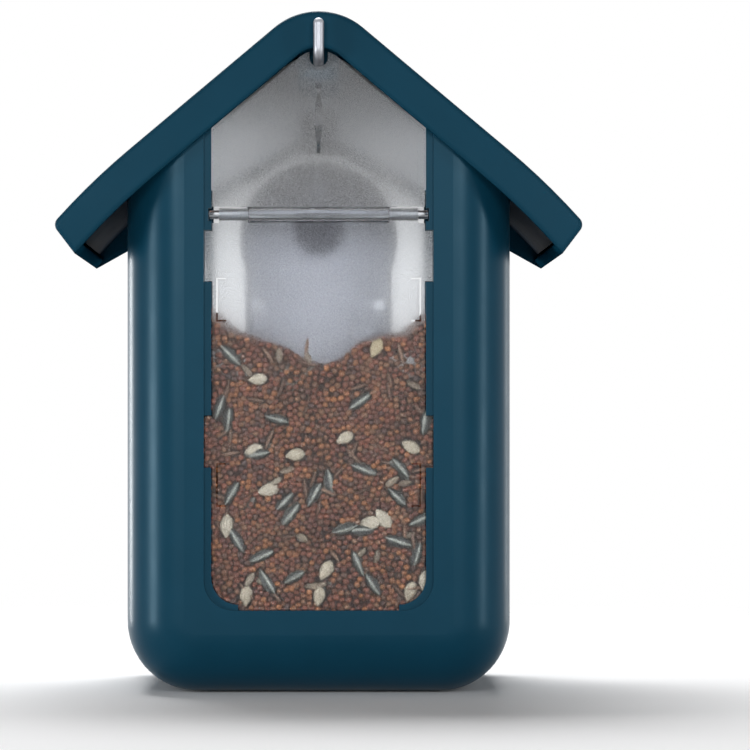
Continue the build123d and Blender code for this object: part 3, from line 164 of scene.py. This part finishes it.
# The heap in the bin, and in it the camera's pocket: the module's box and the walls round it
pocket_side = 2.7 * MM
pocket_rear = 3.4 * MM
fill_low, fill_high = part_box("seed_fill")
module_low, module_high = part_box("module_back")
pocket_half = module_high.x + pocket_side
pocket_y = module_low.y - pocket_rear
pocket_z = module_low.z - pocket_side

# Tray: the heap's height at its two ends, its depth and its corners
tray_rear_z = 24.0 * MM
tray_front_z = 12.0 * MM
tray_depth = 3.2 * MM
tray_corner = 11.7 * MM
tray_margin = 5 * MM  # how far large seed stays from the walls
tray_rise = 0.9 * MM  # how far its middle lies above the heap
tray_tilt = 0.1
tray_striped = 14
tray_cream = 6
tray_straws = 30
# The heap's dark inside, painted shade between the grains: its gaps to the sides and to the top at the rear,
# and how far its front edge lies above the heap's front end
tray_core_side = 2 * MM
tray_core_rear = 3 * MM
tray_core_front = 1.2 * MM


def srgb(red, green, blue):
    """A display colour from 0 to 255 in the linear values that shaders take."""
    linear = [
        (c / 255 / 12.92) if c <= 10 else ((c / 255 + 0.055) / 1.055) ** 2.4
        for c in (red, green, blue)
    ]
    return (*linear, 1.0)


class Paint:
    """A new material with a Principled shader, and short calls for the nodes that feed it."""

    def __init__(self, name, **sockets):
        self.material = bpy.data.materials.new(name)
        self.material.use_nodes = True
        self.tree = self.material.node_tree
        self.shader = self.tree.nodes["Principled BSDF"]
        for socket, value in sockets.items():
            self.shader.inputs[socket.replace("_", " ")].default_value = value
        self.place = self.add("ShaderNodeTexCoord").outputs["Object"]

    def add(self, kind, inputs=None, **settings):
        """A node with its settings, and with its inputs set or linked."""
        node = self.tree.nodes.new(kind)
        for name, value in settings.items():
            setattr(node, name, value)
        for name, value in (inputs or {}).items():
            if isinstance(value, bpy.types.NodeSocket):
                self.tree.links.new(value, node.inputs[name])
            else:
                node.inputs[name].default_value = value
        return node

    def feed(self, socket, output):
        """Link an output to one of the shader's sockets."""
        self.tree.links.new(output, self.shader.inputs[socket])

    def noise(self, size, detail=2.0, stretch=None):
        """Noise with features of a size in metres, stretched along the axes if asked."""
        place = self.place
        if stretch:
            place = self.add("ShaderNodeVectorMath", {0: place, 1: stretch}, operation="MULTIPLY").outputs[0]
        inputs = {"Vector": place, "Scale": 1 / size, "Detail": detail}
        return self.add("ShaderNodeTexNoise", inputs).outputs["Fac"]

    def between(self, value, low, high):
        """A value, usually about 0 to 1, mapped to run between two values."""
        span = {"Value": value, "From Min": noise_low, "From Max": noise_high, "To Min": low, "To Max": high}
        return self.add("ShaderNodeMapRange", span).outputs["Result"]

    def blend(self, share, first, second):
        """A colour between two others."""
        node = self.add("ShaderNodeMix", data_type="RGBA")
        for index, value in ((0, share), (6, first), (7, second)):
            if isinstance(value, bpy.types.NodeSocket):
                self.tree.links.new(value, node.inputs[index])
            else:
                node.inputs[index].default_value = value
        return node.outputs[2]

    def with_painted_shade(self, tint, painted_shade):
        """Painted shade: a colour that darkens between two heights, down to a share of itself."""
        height = self.add("ShaderNodeSeparateXYZ", {0: self.place}).outputs["Z"]
        span = {"Value": height, "From Min": painted_shade[0], "From Max": painted_shade[1], "To Min": 1.0, "To Max": painted_shade[2]}
        share = self.add("ShaderNodeMapRange", span, interpolation_type="SMOOTHSTEP").outputs["Result"]
        shade = self.add("ShaderNodeVectorMath", {0: tint, "Scale": share}, operation="SCALE")
        return shade.outputs[0]

    def relief(self, height, depth, under=None):
        """Fine relief, a depth in metres from its lowest to its highest."""
        inputs = {"Height": height, "Distance": depth, "Strength": 1.0}
        if under:
            inputs["Normal"] = under
        return self.add("ShaderNodeBump", inputs).outputs["Normal"]


def moulded(
    name, color, roughness, grain=0.35 * MM, depth=0.009 * MM, variation=0.03, gloss=0.14, tint=(1, 1, 1, 1),
    round_edge=0.0, painted_shade=None,
):
    """Moulded plastic: a spark-eroded grain, slight mottling and uneven gloss.

    A rounded edge also takes the mirror of grazing light off, as the grain does on a long flat face.
    Painted shade, if given, is two heights between which the colour darkens, and the share of it that is
    left.
    """
    paint = Paint(name, Roughness=roughness, Specular_IOR_Level=gloss, Specular_Tint=tint)
    darker = tuple(c * (1 - variation) for c in color[:3]) + (1.0,)
    lighter = tuple(min(1.0, c * (1 + variation)) for c in color[:3]) + (1.0,)
    mottle = paint.between(paint.noise(mottle_size, 1.0), 0.0, 1.0)
    shade = paint.blend(mottle, darker, lighter)
    paint.feed("Base Color", paint.with_painted_shade(shade, painted_shade) if painted_shade else shade)
    uneven = paint.noise(gloss_size, 1.0)
    paint.feed("Roughness", paint.between(uneven, roughness - gloss_swing, roughness + gloss_swing))
    rounded = None
    if round_edge:
        rounded = paint.add("ShaderNodeBevel", {"Radius": round_edge}, samples=edge_samples).outputs["Normal"]
        facing = paint.add("ShaderNodeLayerWeight").outputs["Facing"]
        grazing = {
            "Value": facing, "From Min": grazing_from, "From Max": grazing_to, "To Min": gloss, "To Max": 0.0,
        }
        paint.feed("Specular IOR Level", paint.add("ShaderNodeMapRange", grazing).outputs["Result"])
    waves = paint.relief(paint.noise(wave_size, 1.0), depth * 2, rounded)
    paint.feed("Normal", paint.relief(paint.noise(grain, 2.0), depth, waves))
    return paint.material


def satin_steel(name, color, roughness, stretch):
    """Drawn or ground steel with fine marks along it."""
    paint = Paint(name, Metallic=1.0, Base_Color=color)
    marks = paint.noise(steel_mark_size, 3.0, stretch)
    paint.feed("Roughness", paint.between(marks, roughness + steel_swing[0], roughness + steel_swing[1]))
    paint.feed("Normal", paint.relief(marks, steel_mark_depth))
    return paint.material


def clear_plastic(name, color, roughness, etched=None, ior=1.20, haze=0.0, polished=None, painted_shade=None):
    """Clear moulded plastic with faint flow marks, through which lamps light what is behind it.

    If etched, part of its face has a fine matt grain. Haze is the share of light that it scatters like milk.
    Polished gives a depth, a height and a roughness: what stands out past the depth, or lies under the
    height, has no grain and that roughness.
    """
    paint = Paint(name, Base_Color=color, Transmission_Weight=1.0 - haze, IOR=ior)
    uneven = paint.noise(cloud_size, 2.0)
    smooth = paint.between(uneven, roughness - gloss_swing, roughness + gloss_swing)
    if etched:
        fine = {0: paint.noise(etched_size, 0.0), 1: etched_edge}
        share = paint.add("ShaderNodeMath", fine, operation="GREATER_THAN").outputs[0]
        if polished:
            axes = paint.add("ShaderNodeSeparateXYZ", {0: paint.place}).outputs
            for axis, limit in (("Y", polished[0]), ("Z", polished[1])):
                past = paint.add("ShaderNodeMath", {0: axes[axis], 1: limit}, operation="GREATER_THAN")
                both = {0: share, 1: past.outputs[0]}
                share = paint.add("ShaderNodeMath", both, operation="MULTIPLY").outputs[0]
                gloss = {0: past.outputs[0], 2: polished[2], 3: smooth}
                smooth = paint.add("ShaderNodeMix", gloss).outputs[0]
        smooth = paint.add("ShaderNodeMix", {0: share, 2: smooth, 3: etched}).outputs[0]
    paint.feed("Roughness", smooth)
    paint.feed("Normal", paint.relief(paint.noise(flow_size, 1.0), flow_depth))
    # Painted shade: the clear plastic's colour darkens between two heights
    if painted_shade:
        paint.feed("Base Color", paint.with_painted_shade(color[:3], painted_shade))
    one_face = tuple(c ** 0.5 for c in color[:3]) + (1.0,)
    open_way = paint.add("ShaderNodeBsdfTransparent", {"Color": one_face})
    path = paint.add("ShaderNodeLightPath").outputs["Is Shadow Ray"]
    both = paint.add("ShaderNodeMixShader", {0: path, 1: paint.shader.outputs[0], 2: open_way.outputs[0]})
    paint.tree.links.new(both.outputs[0], paint.tree.nodes["Material Output"].inputs["Surface"])
    return paint.material


def grain_skin(name, colors, roughness, stripe=None, size=0.5 * MM, fleck_depth=0.28):
    """Seed skin: each grain has a tint of its own between several colours, with fine flecks."""
    paint = Paint(name, Roughness=roughness, Specular_IOR_Level=0.35)
    own = paint.add("ShaderNodeNewGeometry").outputs["Random Per Island"]
    ramp = paint.add("ShaderNodeValToRGB", {"Fac": own})
    steps = ramp.color_ramp.elements
    steps[0].color, steps[-1].color = colors[0], colors[-1]
    for index, color in enumerate(colors[1:-1], 1):
        steps.new(index / (len(colors) - 1)).color = color
    color = ramp.outputs["Color"]
    fleck = paint.between(paint.noise(size, 3.0), 0.0, 1.0)
    shade = paint.add("ShaderNodeMix", data_type="RGBA", blend_type="MULTIPLY")
    paint.tree.links.new(color, shade.inputs[6])
    darkest = (1 - fleck_depth,) * 3 + (1,)
    paint.tree.links.new(paint.blend(fleck, darkest, (1, 1, 1, 1)), shade.inputs[7])
    shade.inputs[0].default_value = 1.0
    color = shade.outputs[2]
    if stripe:
        pale = paint.add("ShaderNodeAttribute", attribute_name="stripe").outputs["Fac"]
        color = paint.blend(pale, color, stripe)
    paint.feed("Base Color", color)
    paint.feed("Normal", paint.relief(paint.noise(size, 2.0), skin_depth))
    return paint.material


# Materials of the frame's nodes, one for each slot of the record, then those of single nodes and of the seed
blue = srgb(12, 56, 75)
blue_gloss = (0.5, 0.82, 1.0, 1.0)
case_color = srgb(194, 197, 206)
materials = {
    "shell_blue": moulded("shell_blue", blue, 0.30, gloss=0.17, tint=blue_gloss),
    "soffit_dark": moulded("soffit_dark", srgb(22, 33, 45), 0.7, gloss=0.03),
    "tray_blue": moulded("tray_blue", blue, 0.33, gloss=0.17, tint=blue_gloss),
    "perch_blue": moulded("perch_blue", srgb(14, 60, 80), 0.28, grain=0.6 * MM, tint=blue_gloss),
    "screw_steel": satin_steel("screw_steel", srgb(190, 190, 192), 0.3, (1, 1, 1)),
    "rod_steel": satin_steel("rod_steel", srgb(150, 152, 158), 0.42, (1, 0.08, 1)),
    # Seed colours the heaps' insides: a brown darker than the grains, as painted shade in the gaps between
    # them
    "seed": moulded("seed", srgb(34, 22, 20), 0.7, grain=2.0 * MM, depth=0.8 * MM),
    "clip_dark": moulded("clip_dark", srgb(58, 59, 66), 0.45),
    "insert_brass": satin_steel("insert_brass", srgb(214, 176, 104), 0.28, (1, 1, 0.1)),
    "rubber_dark": moulded("rubber_dark", srgb(62, 62, 72), 0.62, grain=0.5 * MM),
    "case_grey": moulded("case_grey", case_color, 0.42, gloss=0.3),
    # The liner's pale colour darkens towards its top with painted shade
    "liner_pale": moulded(
        "liner_pale", srgb(250, 251, 253), 0.45, variation=0.02, gloss=0.3, painted_shade=liner_painted_shade
    ),
    "ring_dark": moulded("ring_dark", srgb(24, 24, 28), 0.2, depth=0.004 * MM),
    "sensor_dark": moulded("sensor_dark", srgb(40, 30, 52), 0.12, depth=0.002 * MM),
    "board_green": moulded("board_green", srgb(20, 84, 52), 0.3, grain=1.2 * MM),
    "battery_foil": satin_steel("battery_foil", srgb(205, 206, 210), 0.35, (1, 1, 1)),
    "port_steel": satin_steel("port_steel", srgb(205, 205, 208), 0.25, (1, 1, 1)),
    "window_white": moulded("window_white", srgb(226, 226, 224), 0.4, grain=0.8 * MM),
    "clear_plastic": clear_plastic("clear_plastic", (0.90, 0.915, 0.93, 1), 0.20, etched=0.5, haze=0.01),
    "lens_glass": clear_plastic("lens_glass", (0.93, 0.95, 0.98, 1), 0.03, ior=1.45),
}
roof_blue = moulded("roof_blue", blue, 0.34, gloss=0.09, tint=blue_gloss, round_edge=2.2 * MM)
# The module's back: a copy of the case's grey, a little darker, with painted shade that darkens it towards
# its top
case_back = moulded("case_back", srgb(180, 181, 188), 0.42, gloss=0.3, painted_shade=case_painted_shade)
# The bin's clear walls darken towards its top with painted shade
bin_clear = clear_plastic("bin_clear", (0.89, 0.90, 0.915, 1), 0.08, painted_shade=bin_painted_shade)
door_clear = clear_plastic(
    "door_clear", (0.92, 0.93, 0.945, 1), 0.17, etched=0.5, ior=1.40, haze=0.01,
    polished=(fin_y, knuckle_z, 0.03),
)
bar_clear = clear_plastic("bar_clear", (0.80, 0.82, 0.85, 1), 0.08, ior=1.45)
millet_skin = grain_skin(
    "millet_skin",
    (
        srgb(84, 42, 26), srgb(101, 52, 31), srgb(71, 35, 27),
        srgb(127, 78, 41), srgb(48, 28, 26), srgb(107, 73, 48),
    ),
    0.45, fleck_depth=0.12,
)
cream_skin = grain_skin("cream_skin", (srgb(150, 140, 121), srgb(158, 150, 134), srgb(145, 131, 103)), 0.5)
striped_skin = grain_skin(
    "striped_skin", (srgb(34, 38, 36), srgb(46, 50, 46), srgb(30, 34, 34)), 0.5, stripe=srgb(132, 134, 126)
)
straw_skin = grain_skin("straw_skin", (srgb(96, 68, 54), srgb(110, 84, 66), srgb(84, 60, 48)), 0.6)
husk_skin = grain_skin("husk_skin", (srgb(118, 106, 90), srgb(98, 84, 70), srgb(128, 120, 104)), 0.6)


def finish_frame():
    """Give each node of the frame the material of its slot."""
    for entry in frame["record"]["subparts"]:
        node = nodes[entry["node"]]
        node.data.materials.clear()
        node.data.materials.append(materials[entry["material_slot"]])
    for name, material in (
        ("seed_bin", bin_clear), ("rear_door", door_clear), ("hinge_pin", bar_clear),
        ("roof_shell", roof_blue), ("module_back", case_back),
    ):
        nodes[name].data.materials[0] = material


def grain_shape(length, width, thickness, rings, sides, blunt=0.5, stripes=0):
    """One seed along X, as points, triangles and the share of stripe at each point.

    blunt moves its widest place from the tip, 0, to the foot, 1.
    """
    points, stripe = [], []
    for ring in range(rings + 1):
        along = ring / rings
        swell = sin(pi * along ** (2 * blunt)) ** seed_swell if 0 < ring < rings else 0.0
        for side in range(sides):
            angle = 2 * pi * side / sides
            points.append((
                (along - 0.5) * length,
                cos(angle) * swell * width / 2,
                sin(angle) * swell * thickness / 2,
            ))
            stripe.append(float(stripes > 0 and side % (sides // stripes) == 0))
    triangles = []
    for ring in range(rings):
        for side in range(sides):
            a = ring * sides + side
            b = ring * sides + (side + 1) % sides
            if ring > 0:
                triangles.append((a, b, b + sides))
            if ring < rings - 1:
                triangles.append((a, b + sides, a + sides))
    return np.array(points), np.array(triangles), np.array(stripe)


def millet_shape():
    """One round grain."""
    ball = bmesh.new()
    bmesh.ops.create_icosphere(ball, subdivisions=2, radius=millet_radius)
    points = np.array([v.co for v in ball.verts])
    triangles = np.array([[v.index for v in f.verts] for f in ball.faces])
    ball.free()
    return points * (1.0, 1.0, millet_flatness), triangles, np.zeros(len(points))


def seed_shapes():
    """The large kinds by name."""
    return {
        "cream": grain_shape(*cream_size, rings=10, sides=12, blunt=0.62),
        "striped": grain_shape(*striped_size, rings=10, sides=16, blunt=0.58, stripes=4),
        "straws": grain_shape(*straw_size, rings=8, sides=8),
        "husks": grain_shape(*husk_size, rings=8, sides=8, blunt=0.55),
    }


def random_turns(count):
    """Rotation matrices spread evenly over all directions."""
    q = rng.normal(size=(count, 4))
    q /= np.linalg.norm(q, axis=1)[:, None]
    w, x, y, z = q.T
    rows = (
        (1 - 2 * (y * y + z * z), 2 * (x * y - z * w), 2 * (x * z + y * w)),
        (2 * (x * y + z * w), 1 - 2 * (x * x + z * z), 2 * (y * z - x * w)),
        (2 * (x * z - y * w), 2 * (y * z + x * w), 1 - 2 * (x * x + y * y)),
    )
    return np.moveaxis(np.array(rows), 2, 0)


def flat_turns(angles, tilt):
    """Rotations that lay a seed against the window, its length at an angle to X, tilted at random."""
    turns = []
    for angle in np.radians(angles):
        lean_out, roll = rng.normal(0, tilt, 2)
        along = np.array((cos(angle), lean_out, sin(angle)))
        along /= np.linalg.norm(along)
        face = np.array((0, 1, 0)) + roll * np.array((-sin(angle), 0, cos(angle)))
        face -= along * (face @ along)
        face /= np.linalg.norm(face)
        turns.append(np.column_stack((along, np.cross(face, along), face)))
    return np.array(turns)


def scatter(name, shape, places, turns, skin, body, node):
    """Copies of one grain in meshes of a limited size, riding on a body and standing for a node."""
    points, triangles, stripe = shape
    scales = rng.uniform(smallest_grain, largest_grain, (len(places), 1, 1))
    for group in range(0, len(places), group_size):
        some = slice(group, group + group_size)
        grains = np.einsum("gij,pj->gpi", turns[some], points) * scales[some] + places[some][:, None, :]
        count = len(grains)
        faces = triangles[None] + (np.arange(count) * len(points))[:, None, None]
        mesh = bpy.data.meshes.new(name)
        mesh.vertices.add(count * len(points))
        mesh.vertices.foreach_set("co", grains.astype(np.float32).ravel())
        mesh.loops.add(faces.size)
        mesh.loops.foreach_set("vertex_index", faces.astype(np.int32).ravel())
        mesh.polygons.add(faces.size // 3)
        mesh.polygons.foreach_set("loop_start", np.arange(0, faces.size, 3, dtype=np.int32))
        mesh.polygons.foreach_set("use_smooth", np.ones(faces.size // 3, dtype=bool))
        mesh.update(calc_edges=True)
        attribute = mesh.attributes.new("stripe", "FLOAT", "POINT")
        attribute.data.foreach_set("value", np.tile(stripe, count).astype(np.float32))
        mesh.materials.append(skin)
        piece = bpy.data.objects.new(f"{name}_{group // group_size + 1}", mesh)
        bpy.context.scene.collection.objects.link(piece)
        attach(piece, body)
        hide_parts(node)


def settle(points, fixed, keep_inside):
    """Push round grains apart, and out of the fixed ones, while they stay inside their space."""
    spacing = 2 * millet_radius
    for _ in range(settle_rounds):
        tree = kdtree.KDTree(len(points) + len(fixed))
        for index, point in enumerate(np.concatenate((points, fixed))):
            tree.insert(point, index)
        tree.balance()
        pairs = [
            (index, other)
            for index, point in enumerate(points)
            for _, other, _ in tree.find_range(point, spacing)
            if other > index
        ]
        first, second = np.array(pairs).T
        everything = np.concatenate((points, fixed))
        apart = everything[first] - everything[second]
        distance = np.maximum(np.linalg.norm(apart, axis=1), 1e-6)
        push = apart / distance[:, None] * (spacing - distance)[:, None]
        share = np.where(second >= len(points), 1.0, 0.5)[:, None]
        moves = np.zeros_like(points)
        np.add.at(moves, first, push * share)
        free = second < len(points)
        np.add.at(moves, second[free], -push[free] * 0.5)
        points = keep_inside(points + moves * settle_step)
    return points


def crest(places):
    """The height of the heap's surface above each place."""
    inward = np.clip((places[:, 1] - fill_low.y) / (pocket_y - fill_low.y), 0, 1)
    rise = inward * np.abs(places[:, 0]) / fill_high.x
    return np.interp(places[:, 0], crest_x, crest_z) + crest_rise * rise


def bin_floor(places):
    """The height of the bin's sloping floor under each place."""
    return fill_low.z + (fill_high.y - places[:, 1]) * bin_slope


def in_pocket(places):
    """Whether each place lies in the camera's pocket, walls included."""
    beside = np.abs(places[:, 0]) < pocket_half
    return beside & (places[:, 1] > pocket_y) & (places[:, 2] > pocket_z)


def random_in(low, high, wanted):
    """Random places in a box, as many as round grains fill it with, of which the wanted ones are kept."""
    volume = np.prod(np.subtract(high, low))
    count = int(volume * millet_packing / (4 / 3 * pi * millet_radius**3))
    places = rng.uniform(low, high, (count, 3))
    return places[wanted(places)]


def fill_bin():
    """The grains that show in the bin: behind the window, on the heap and behind the front plate."""
    reach = fill_high.x - millet_radius
    rear = fill_low.y + millet_radius
    front = fill_high.y - millet_radius

    def against(low_y, high_y):
        """What keeps grains between two depths, over the floor and under the crest."""
        def keep_inside(points):
            points[:, 0] = np.clip(points[:, 0], -reach, reach)
            points[:, 1] = np.clip(points[:, 1], low_y, high_y)
            points[:, 2] = np.clip(points[:, 2], bin_floor(points) + millet_radius, crest(points))
            return points
        return keep_inside

    def on_top(points):
        points[:, 0] = np.clip(points[:, 0], -reach, reach)
        points[:, 1] = np.clip(points[:, 1], rear, pocket_y - millet_radius)
        surface = crest(points)
        points[:, 2] = np.clip(points[:, 2], surface - layer_depth, surface)
        return points

    def out_of_pocket(points):
        points = against(front - layer_depth, front)(points)
        inside = in_pocket(points)
        aside = np.abs(points[:, 0]) + points[:, 2] > pocket_half + pocket_z
        points[inside & aside, 0] = np.sign(points[inside & aside, 0]) * pocket_half
        points[inside & ~aside, 2] = pocket_z
        return points

    def below_crest(places):
        return (places[:, 2] < crest(places)) & (places[:, 2] > bin_floor(places) + millet_radius)

    top = crest_z.max() + crest_rise
    behind = rear + second_layer
    window_area = 2 * reach * (top - fill_low.z)
    window_layer = rng.uniform(
        (-reach, rear, fill_low.z), (reach, rear + window_touch, top),
        (int(window_area * window_packing / (pi * millet_radius**2)), 3),
    )
    window_layer = window_layer[below_crest(window_layer)]
    rear_box = ((-reach, behind, fill_low.z), (reach, rear + layer_depth, top))
    front_box = ((-reach, front - layer_depth, fill_low.z), (reach, front, top))
    top_box = ((-reach, rear + layer_depth, crest_z.min() - layer_depth), (reach, pocket_y, top))
    obstacles = large_seed(rear)
    one_ball = obstacles[:1]  # settle takes one fixed place or more
    window_layer = settle(window_layer, obstacles, against(rear, rear + window_touch))
    apart = np.linalg.norm(window_layer[:, None] - obstacles[None], axis=2).min(axis=1)
    window_layer = window_layer[apart > clear_of_seed * millet_radius]
    millet = np.concatenate((
        window_layer,
        settle(random_in(*rear_box, below_crest), one_ball, against(behind, rear + layer_depth)),
        settle(random_in(*front_box, lambda p: below_crest(p) & ~in_pocket(p)), one_ball, out_of_pocket),
        settle(
            random_in(*top_box, lambda p: below_crest(p) & (p[:, 2] > crest(p) - layer_depth)),
            one_ball,
            on_top,
        ),
    ))
    turns = random_turns(len(millet))
    scatter("bin_millet", millet_shape(), millet, turns, millet_skin, "housing", "seed_fill")


def large_seed(rear):
    """The large seeds, straws and husks behind the window. Returns the middles of balls along them."""
    shapes = seed_shapes()
    balls = []

    def behind_window(kind, listed, count, skin, sink, tilt):
        """Listed seeds against the window, then random ones, which may lie deeper."""
        shape = shapes[kind]
        width = np.ptp(shape[0][:, 2]) / 2
        loose = rng.uniform(loose_low, loose_high, (count, 3))
        every = np.concatenate((np.array(listed, float).reshape(-1, 3), loose))
        depth = rear - millet_radius + width + loose_gap + rng.uniform(0, sink, len(every))
        depth[: len(listed)] = rear - millet_radius + width + listed_gap
        places = np.column_stack((every[:, 0] * MM, depth, every[:, 1] * MM))
        turns = flat_turns(every[:, 2], tilt)
        scatter(f"bin_{kind}", shape, places, turns, skin, "housing", "seed_fill")
        half_length = np.ptp(shape[0][:, 0]) / 2
        half_width = np.ptp(shape[0][:, 1]) / 2
        for share in ball_shares:
            middle = places + turns[:, :, 0] * half_length * share
            across = turns[:, :, 1] * max(0.0, half_width - millet_radius) * sqrt(1 - share * share)
            balls.extend((middle - across, middle + across))

    behind_window("cream", cream_places, 0, cream_skin, sink=0.0, tilt=0.08)
    behind_window("striped", striped_places, loose_striped, striped_skin, sink=striped_sink, tilt=0.15)
    behind_window("straws", (), loose_straws, straw_skin, sink=straw_sink, tilt=0.2)
    behind_window("husks", (), loose_husks, husk_skin, sink=husk_sink, tilt=0.25)
    return np.concatenate(balls)


def fill_tray():
    """The grains in the tray."""
    low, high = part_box("tray_seed")
    radius = millet_radius
    no_seed = np.zeros((1, 3))  # settle takes one fixed place or more

    def surface(points):
        share = (points[:, 1] - low.y) / (high.y - low.y)
        return tray_rear_z - radius + (tray_front_z - tray_rear_z) * share

    def keep_inside(points):
        points[:, 1] = np.clip(points[:, 1], low.y + radius, high.y - radius)
        past = np.maximum(points[:, 1] - (high.y - tray_corner), 0)
        half = high.x - tray_corner + np.sqrt(np.maximum(tray_corner**2 - past**2, 0)) - radius
        points[:, 0] = np.clip(points[:, 0], -half, half)
        bottom = np.maximum(surface(points) - tray_depth, low.z + radius)
        points[:, 2] = np.clip(points[:, 2], bottom, surface(points))
        return points

    box_low = (low.x + radius, low.y + radius, low.z + radius)
    box_high = (high.x - radius, high.y - radius, tray_rear_z)
    millet = random_in(
        box_low, box_high, lambda p: (p[:, 2] < surface(p)) & (p[:, 2] > surface(p) - tray_depth)
    )
    millet = settle(keep_inside(millet), no_seed, keep_inside)
    turns = random_turns(len(millet))
    scatter("tray_millet", millet_shape(), millet, turns, millet_skin, "tray", "tray_seed")
    shapes = seed_shapes()
    kinds = (
        ("striped", tray_striped, striped_skin),
        ("cream", tray_cream, cream_skin),
        ("straws", tray_straws, straw_skin),
    )
    flat = np.array(((1, 0, 0), (0, 0, -1), (0, 1, 0)))
    for kind, count, skin in kinds:
        places = rng.uniform(
            (low.x + tray_margin, low.y + tray_margin, 0),
            (high.x - tray_margin, high.y - tray_margin, 0),
            (count, 3),
        )
        places[:, 2] = surface(places) + tray_rise
        turns = np.einsum("ij,gjk->gik", flat, flat_turns(rng.uniform(-180, 180, count), tray_tilt))
        scatter(f"tray_{kind}", shapes[kind], places, turns, skin, "tray", "tray_seed")


def make_core(name, boxes, body, node):
    """The dark inside of a heap: blocks that fill it behind the modelled grains, in a seed colour darker than
    theirs, as painted shade in the gaps between them.

    Each block has a low corner, a high corner and the height of its top at the front.
    """
    core = bmesh.new()
    for low, high, top_high in boxes:
        outline = ((low[0], low[1]), (high[0], low[1]), (high[0], high[1]), (low[0], high[1]))
        tops = (high[2], high[2], top_high, top_high)
        corners = [core.verts.new((x, y, low[2])) for x, y in outline]
        corners += [core.verts.new((x, y, z)) for (x, y), z in zip(outline, tops)]
        for face in ((3, 2, 1, 0), (4, 5, 6, 7), (0, 1, 5, 4), (1, 2, 6, 5), (2, 3, 7, 6), (3, 0, 4, 7)):
            core.faces.new([corners[i] for i in face])
    bmesh.ops.subdivide_edges(core, edges=core.edges[:], cuts=core_cuts, use_grid_fill=True)
    for vertex in core.verts:
        vertex.co += Vector(rng.uniform(-core_roughness, core_roughness, 3))
    mesh = bpy.data.meshes.new(name)
    core.to_mesh(mesh)
    core.free()
    mesh.materials.append(materials["seed"])
    piece = bpy.data.objects.new(name, mesh)
    bpy.context.scene.collection.objects.link(piece)
    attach(piece, body)
    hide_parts(node)


def make_cores():
    """The insides of the two heaps."""
    inset = core_inset
    rear, front = fill_low.y + inset, fill_high.y - inset
    reach = fill_high.x - inset
    top = crest_z.min() - inset
    rear_floor = bin_floor(np.array(((0, rear, 0),)))[0] + inset
    column = pocket_half + inset
    bin_blocks = [
        ((-reach, rear, rear_floor), (reach, pocket_y - inset, top), top),
        ((-reach, pocket_y - inset, rear_floor), (reach, front, pocket_z - inset), pocket_z - inset),
        ((column, pocket_y - inset, rear_floor), (reach, front, top), top),
        ((-reach, pocket_y - inset, rear_floor), (-column, front, top), top),
    ]
    make_core("bin_core", bin_blocks, "housing", "seed_fill")
    low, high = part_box("tray_seed")
    tray_blocks = [(
        (low.x + tray_core_side, low.y + MM, low.z),
        (high.x - tray_core_side, high.y - tray_corner, tray_rear_z - tray_core_rear),
        tray_front_z + tray_core_front,
    )]
    make_core("tray_core", tray_blocks, "tray", "tray_seed")


def area_light(name, place, aim, size, power):
    """A soft lamp at a place, turned to a point."""
    light = bpy.data.lights.new(name, "AREA")
    light.shape = "RECTANGLE"
    light.size, light.size_y = size
    light.energy = power
    lamp = bpy.data.objects.new(name, light)
    lamp.location = place
    lamp.rotation_euler = (Vector(aim) - Vector(place)).to_track_quat("-Z", "Y").to_euler()
    bpy.context.scene.collection.objects.link(lamp)


def make_world():
    """A pale studio: white where it is seen, mirrored or seen through clear pieces, a soft fill elsewhere."""
    world = bpy.data.worlds.new("studio")
    bpy.context.scene.world = world
    world.use_nodes = True
    tree = world.node_tree
    background = tree.nodes["Background"]
    path = tree.nodes.new("ShaderNodeLightPath")
    seen = path.outputs["Is Camera Ray"]
    for kind in ("Is Glossy Ray", "Is Transmission Ray"):
        either = tree.nodes.new("ShaderNodeMath")
        either.operation = "MAXIMUM"
        tree.links.new(seen, either.inputs[0])
        tree.links.new(path.outputs[kind], either.inputs[1])
        seen = either.outputs[0]
    strength = tree.nodes.new("ShaderNodeMapRange")
    strength.inputs["To Min"].default_value = fill_strength
    strength.inputs["To Max"].default_value = 1.0
    tree.links.new(seen, strength.inputs["Value"])
    tree.links.new(strength.outputs["Result"], background.inputs["Strength"])
    background.inputs["Color"].default_value = (1, 1, 1, 1)


def make_floor():
    """A pale floor that fades into the white of the world away from the feeder."""
    mesh = bpy.data.meshes.new("floor")
    corners = [(x * floor_half, y * floor_half, 0) for x, y in ((-1, -1), (1, -1), (1, 1), (-1, 1))]
    mesh.from_pydata(corners, [], [(0, 1, 2, 3)])
    floor = bpy.data.objects.new("floor", mesh)
    bpy.context.scene.collection.objects.link(floor)
    paint = Paint("floor", Roughness=0.9, Base_Color=floor_color, Specular_IOR_Level=0.1)
    out = paint.add("ShaderNodeVectorMath", {0: paint.place}, operation="LENGTH").outputs["Value"]
    span = {"Value": out, "From Min": floor_near, "From Max": floor_far}
    far = paint.add("ShaderNodeMapRange", span, interpolation_type="SMOOTHSTEP").outputs["Result"]
    clear = paint.add("ShaderNodeBsdfTransparent")
    both = paint.add("ShaderNodeMixShader", {0: far, 1: paint.shader.outputs[0], 2: clear.outputs[0]})
    paint.tree.links.new(both.outputs[0], paint.tree.nodes["Material Output"].inputs["Surface"])
    mesh.materials.append(paint.material)


def make_lights():
    """A soft lamp above and past the feeder, three on the camera's side and two at each end of its width."""
    for lamp in lamps:
        area_light(*lamp)


def make_camera():
    """The camera of the reference view."""
    data = bpy.data.cameras.new("camera")
    data.lens, data.sensor_width = camera_lens, camera_sensor
    data.shift_x, data.shift_y = camera_shift
    data.clip_start, data.clip_end = camera_clip
    camera = bpy.data.objects.new("camera", data)
    camera.location = camera_place
    camera.rotation_euler = (radians(90), 0, 0)
    bpy.context.scene.collection.objects.link(camera)
    bpy.context.scene.camera = camera


make_camera()
make_world()
make_floor()
make_lights()
finish_frame()
fill_bin()
fill_tray()
make_cores()

bpy.context.scene.view_settings.view_transform = "Standard"
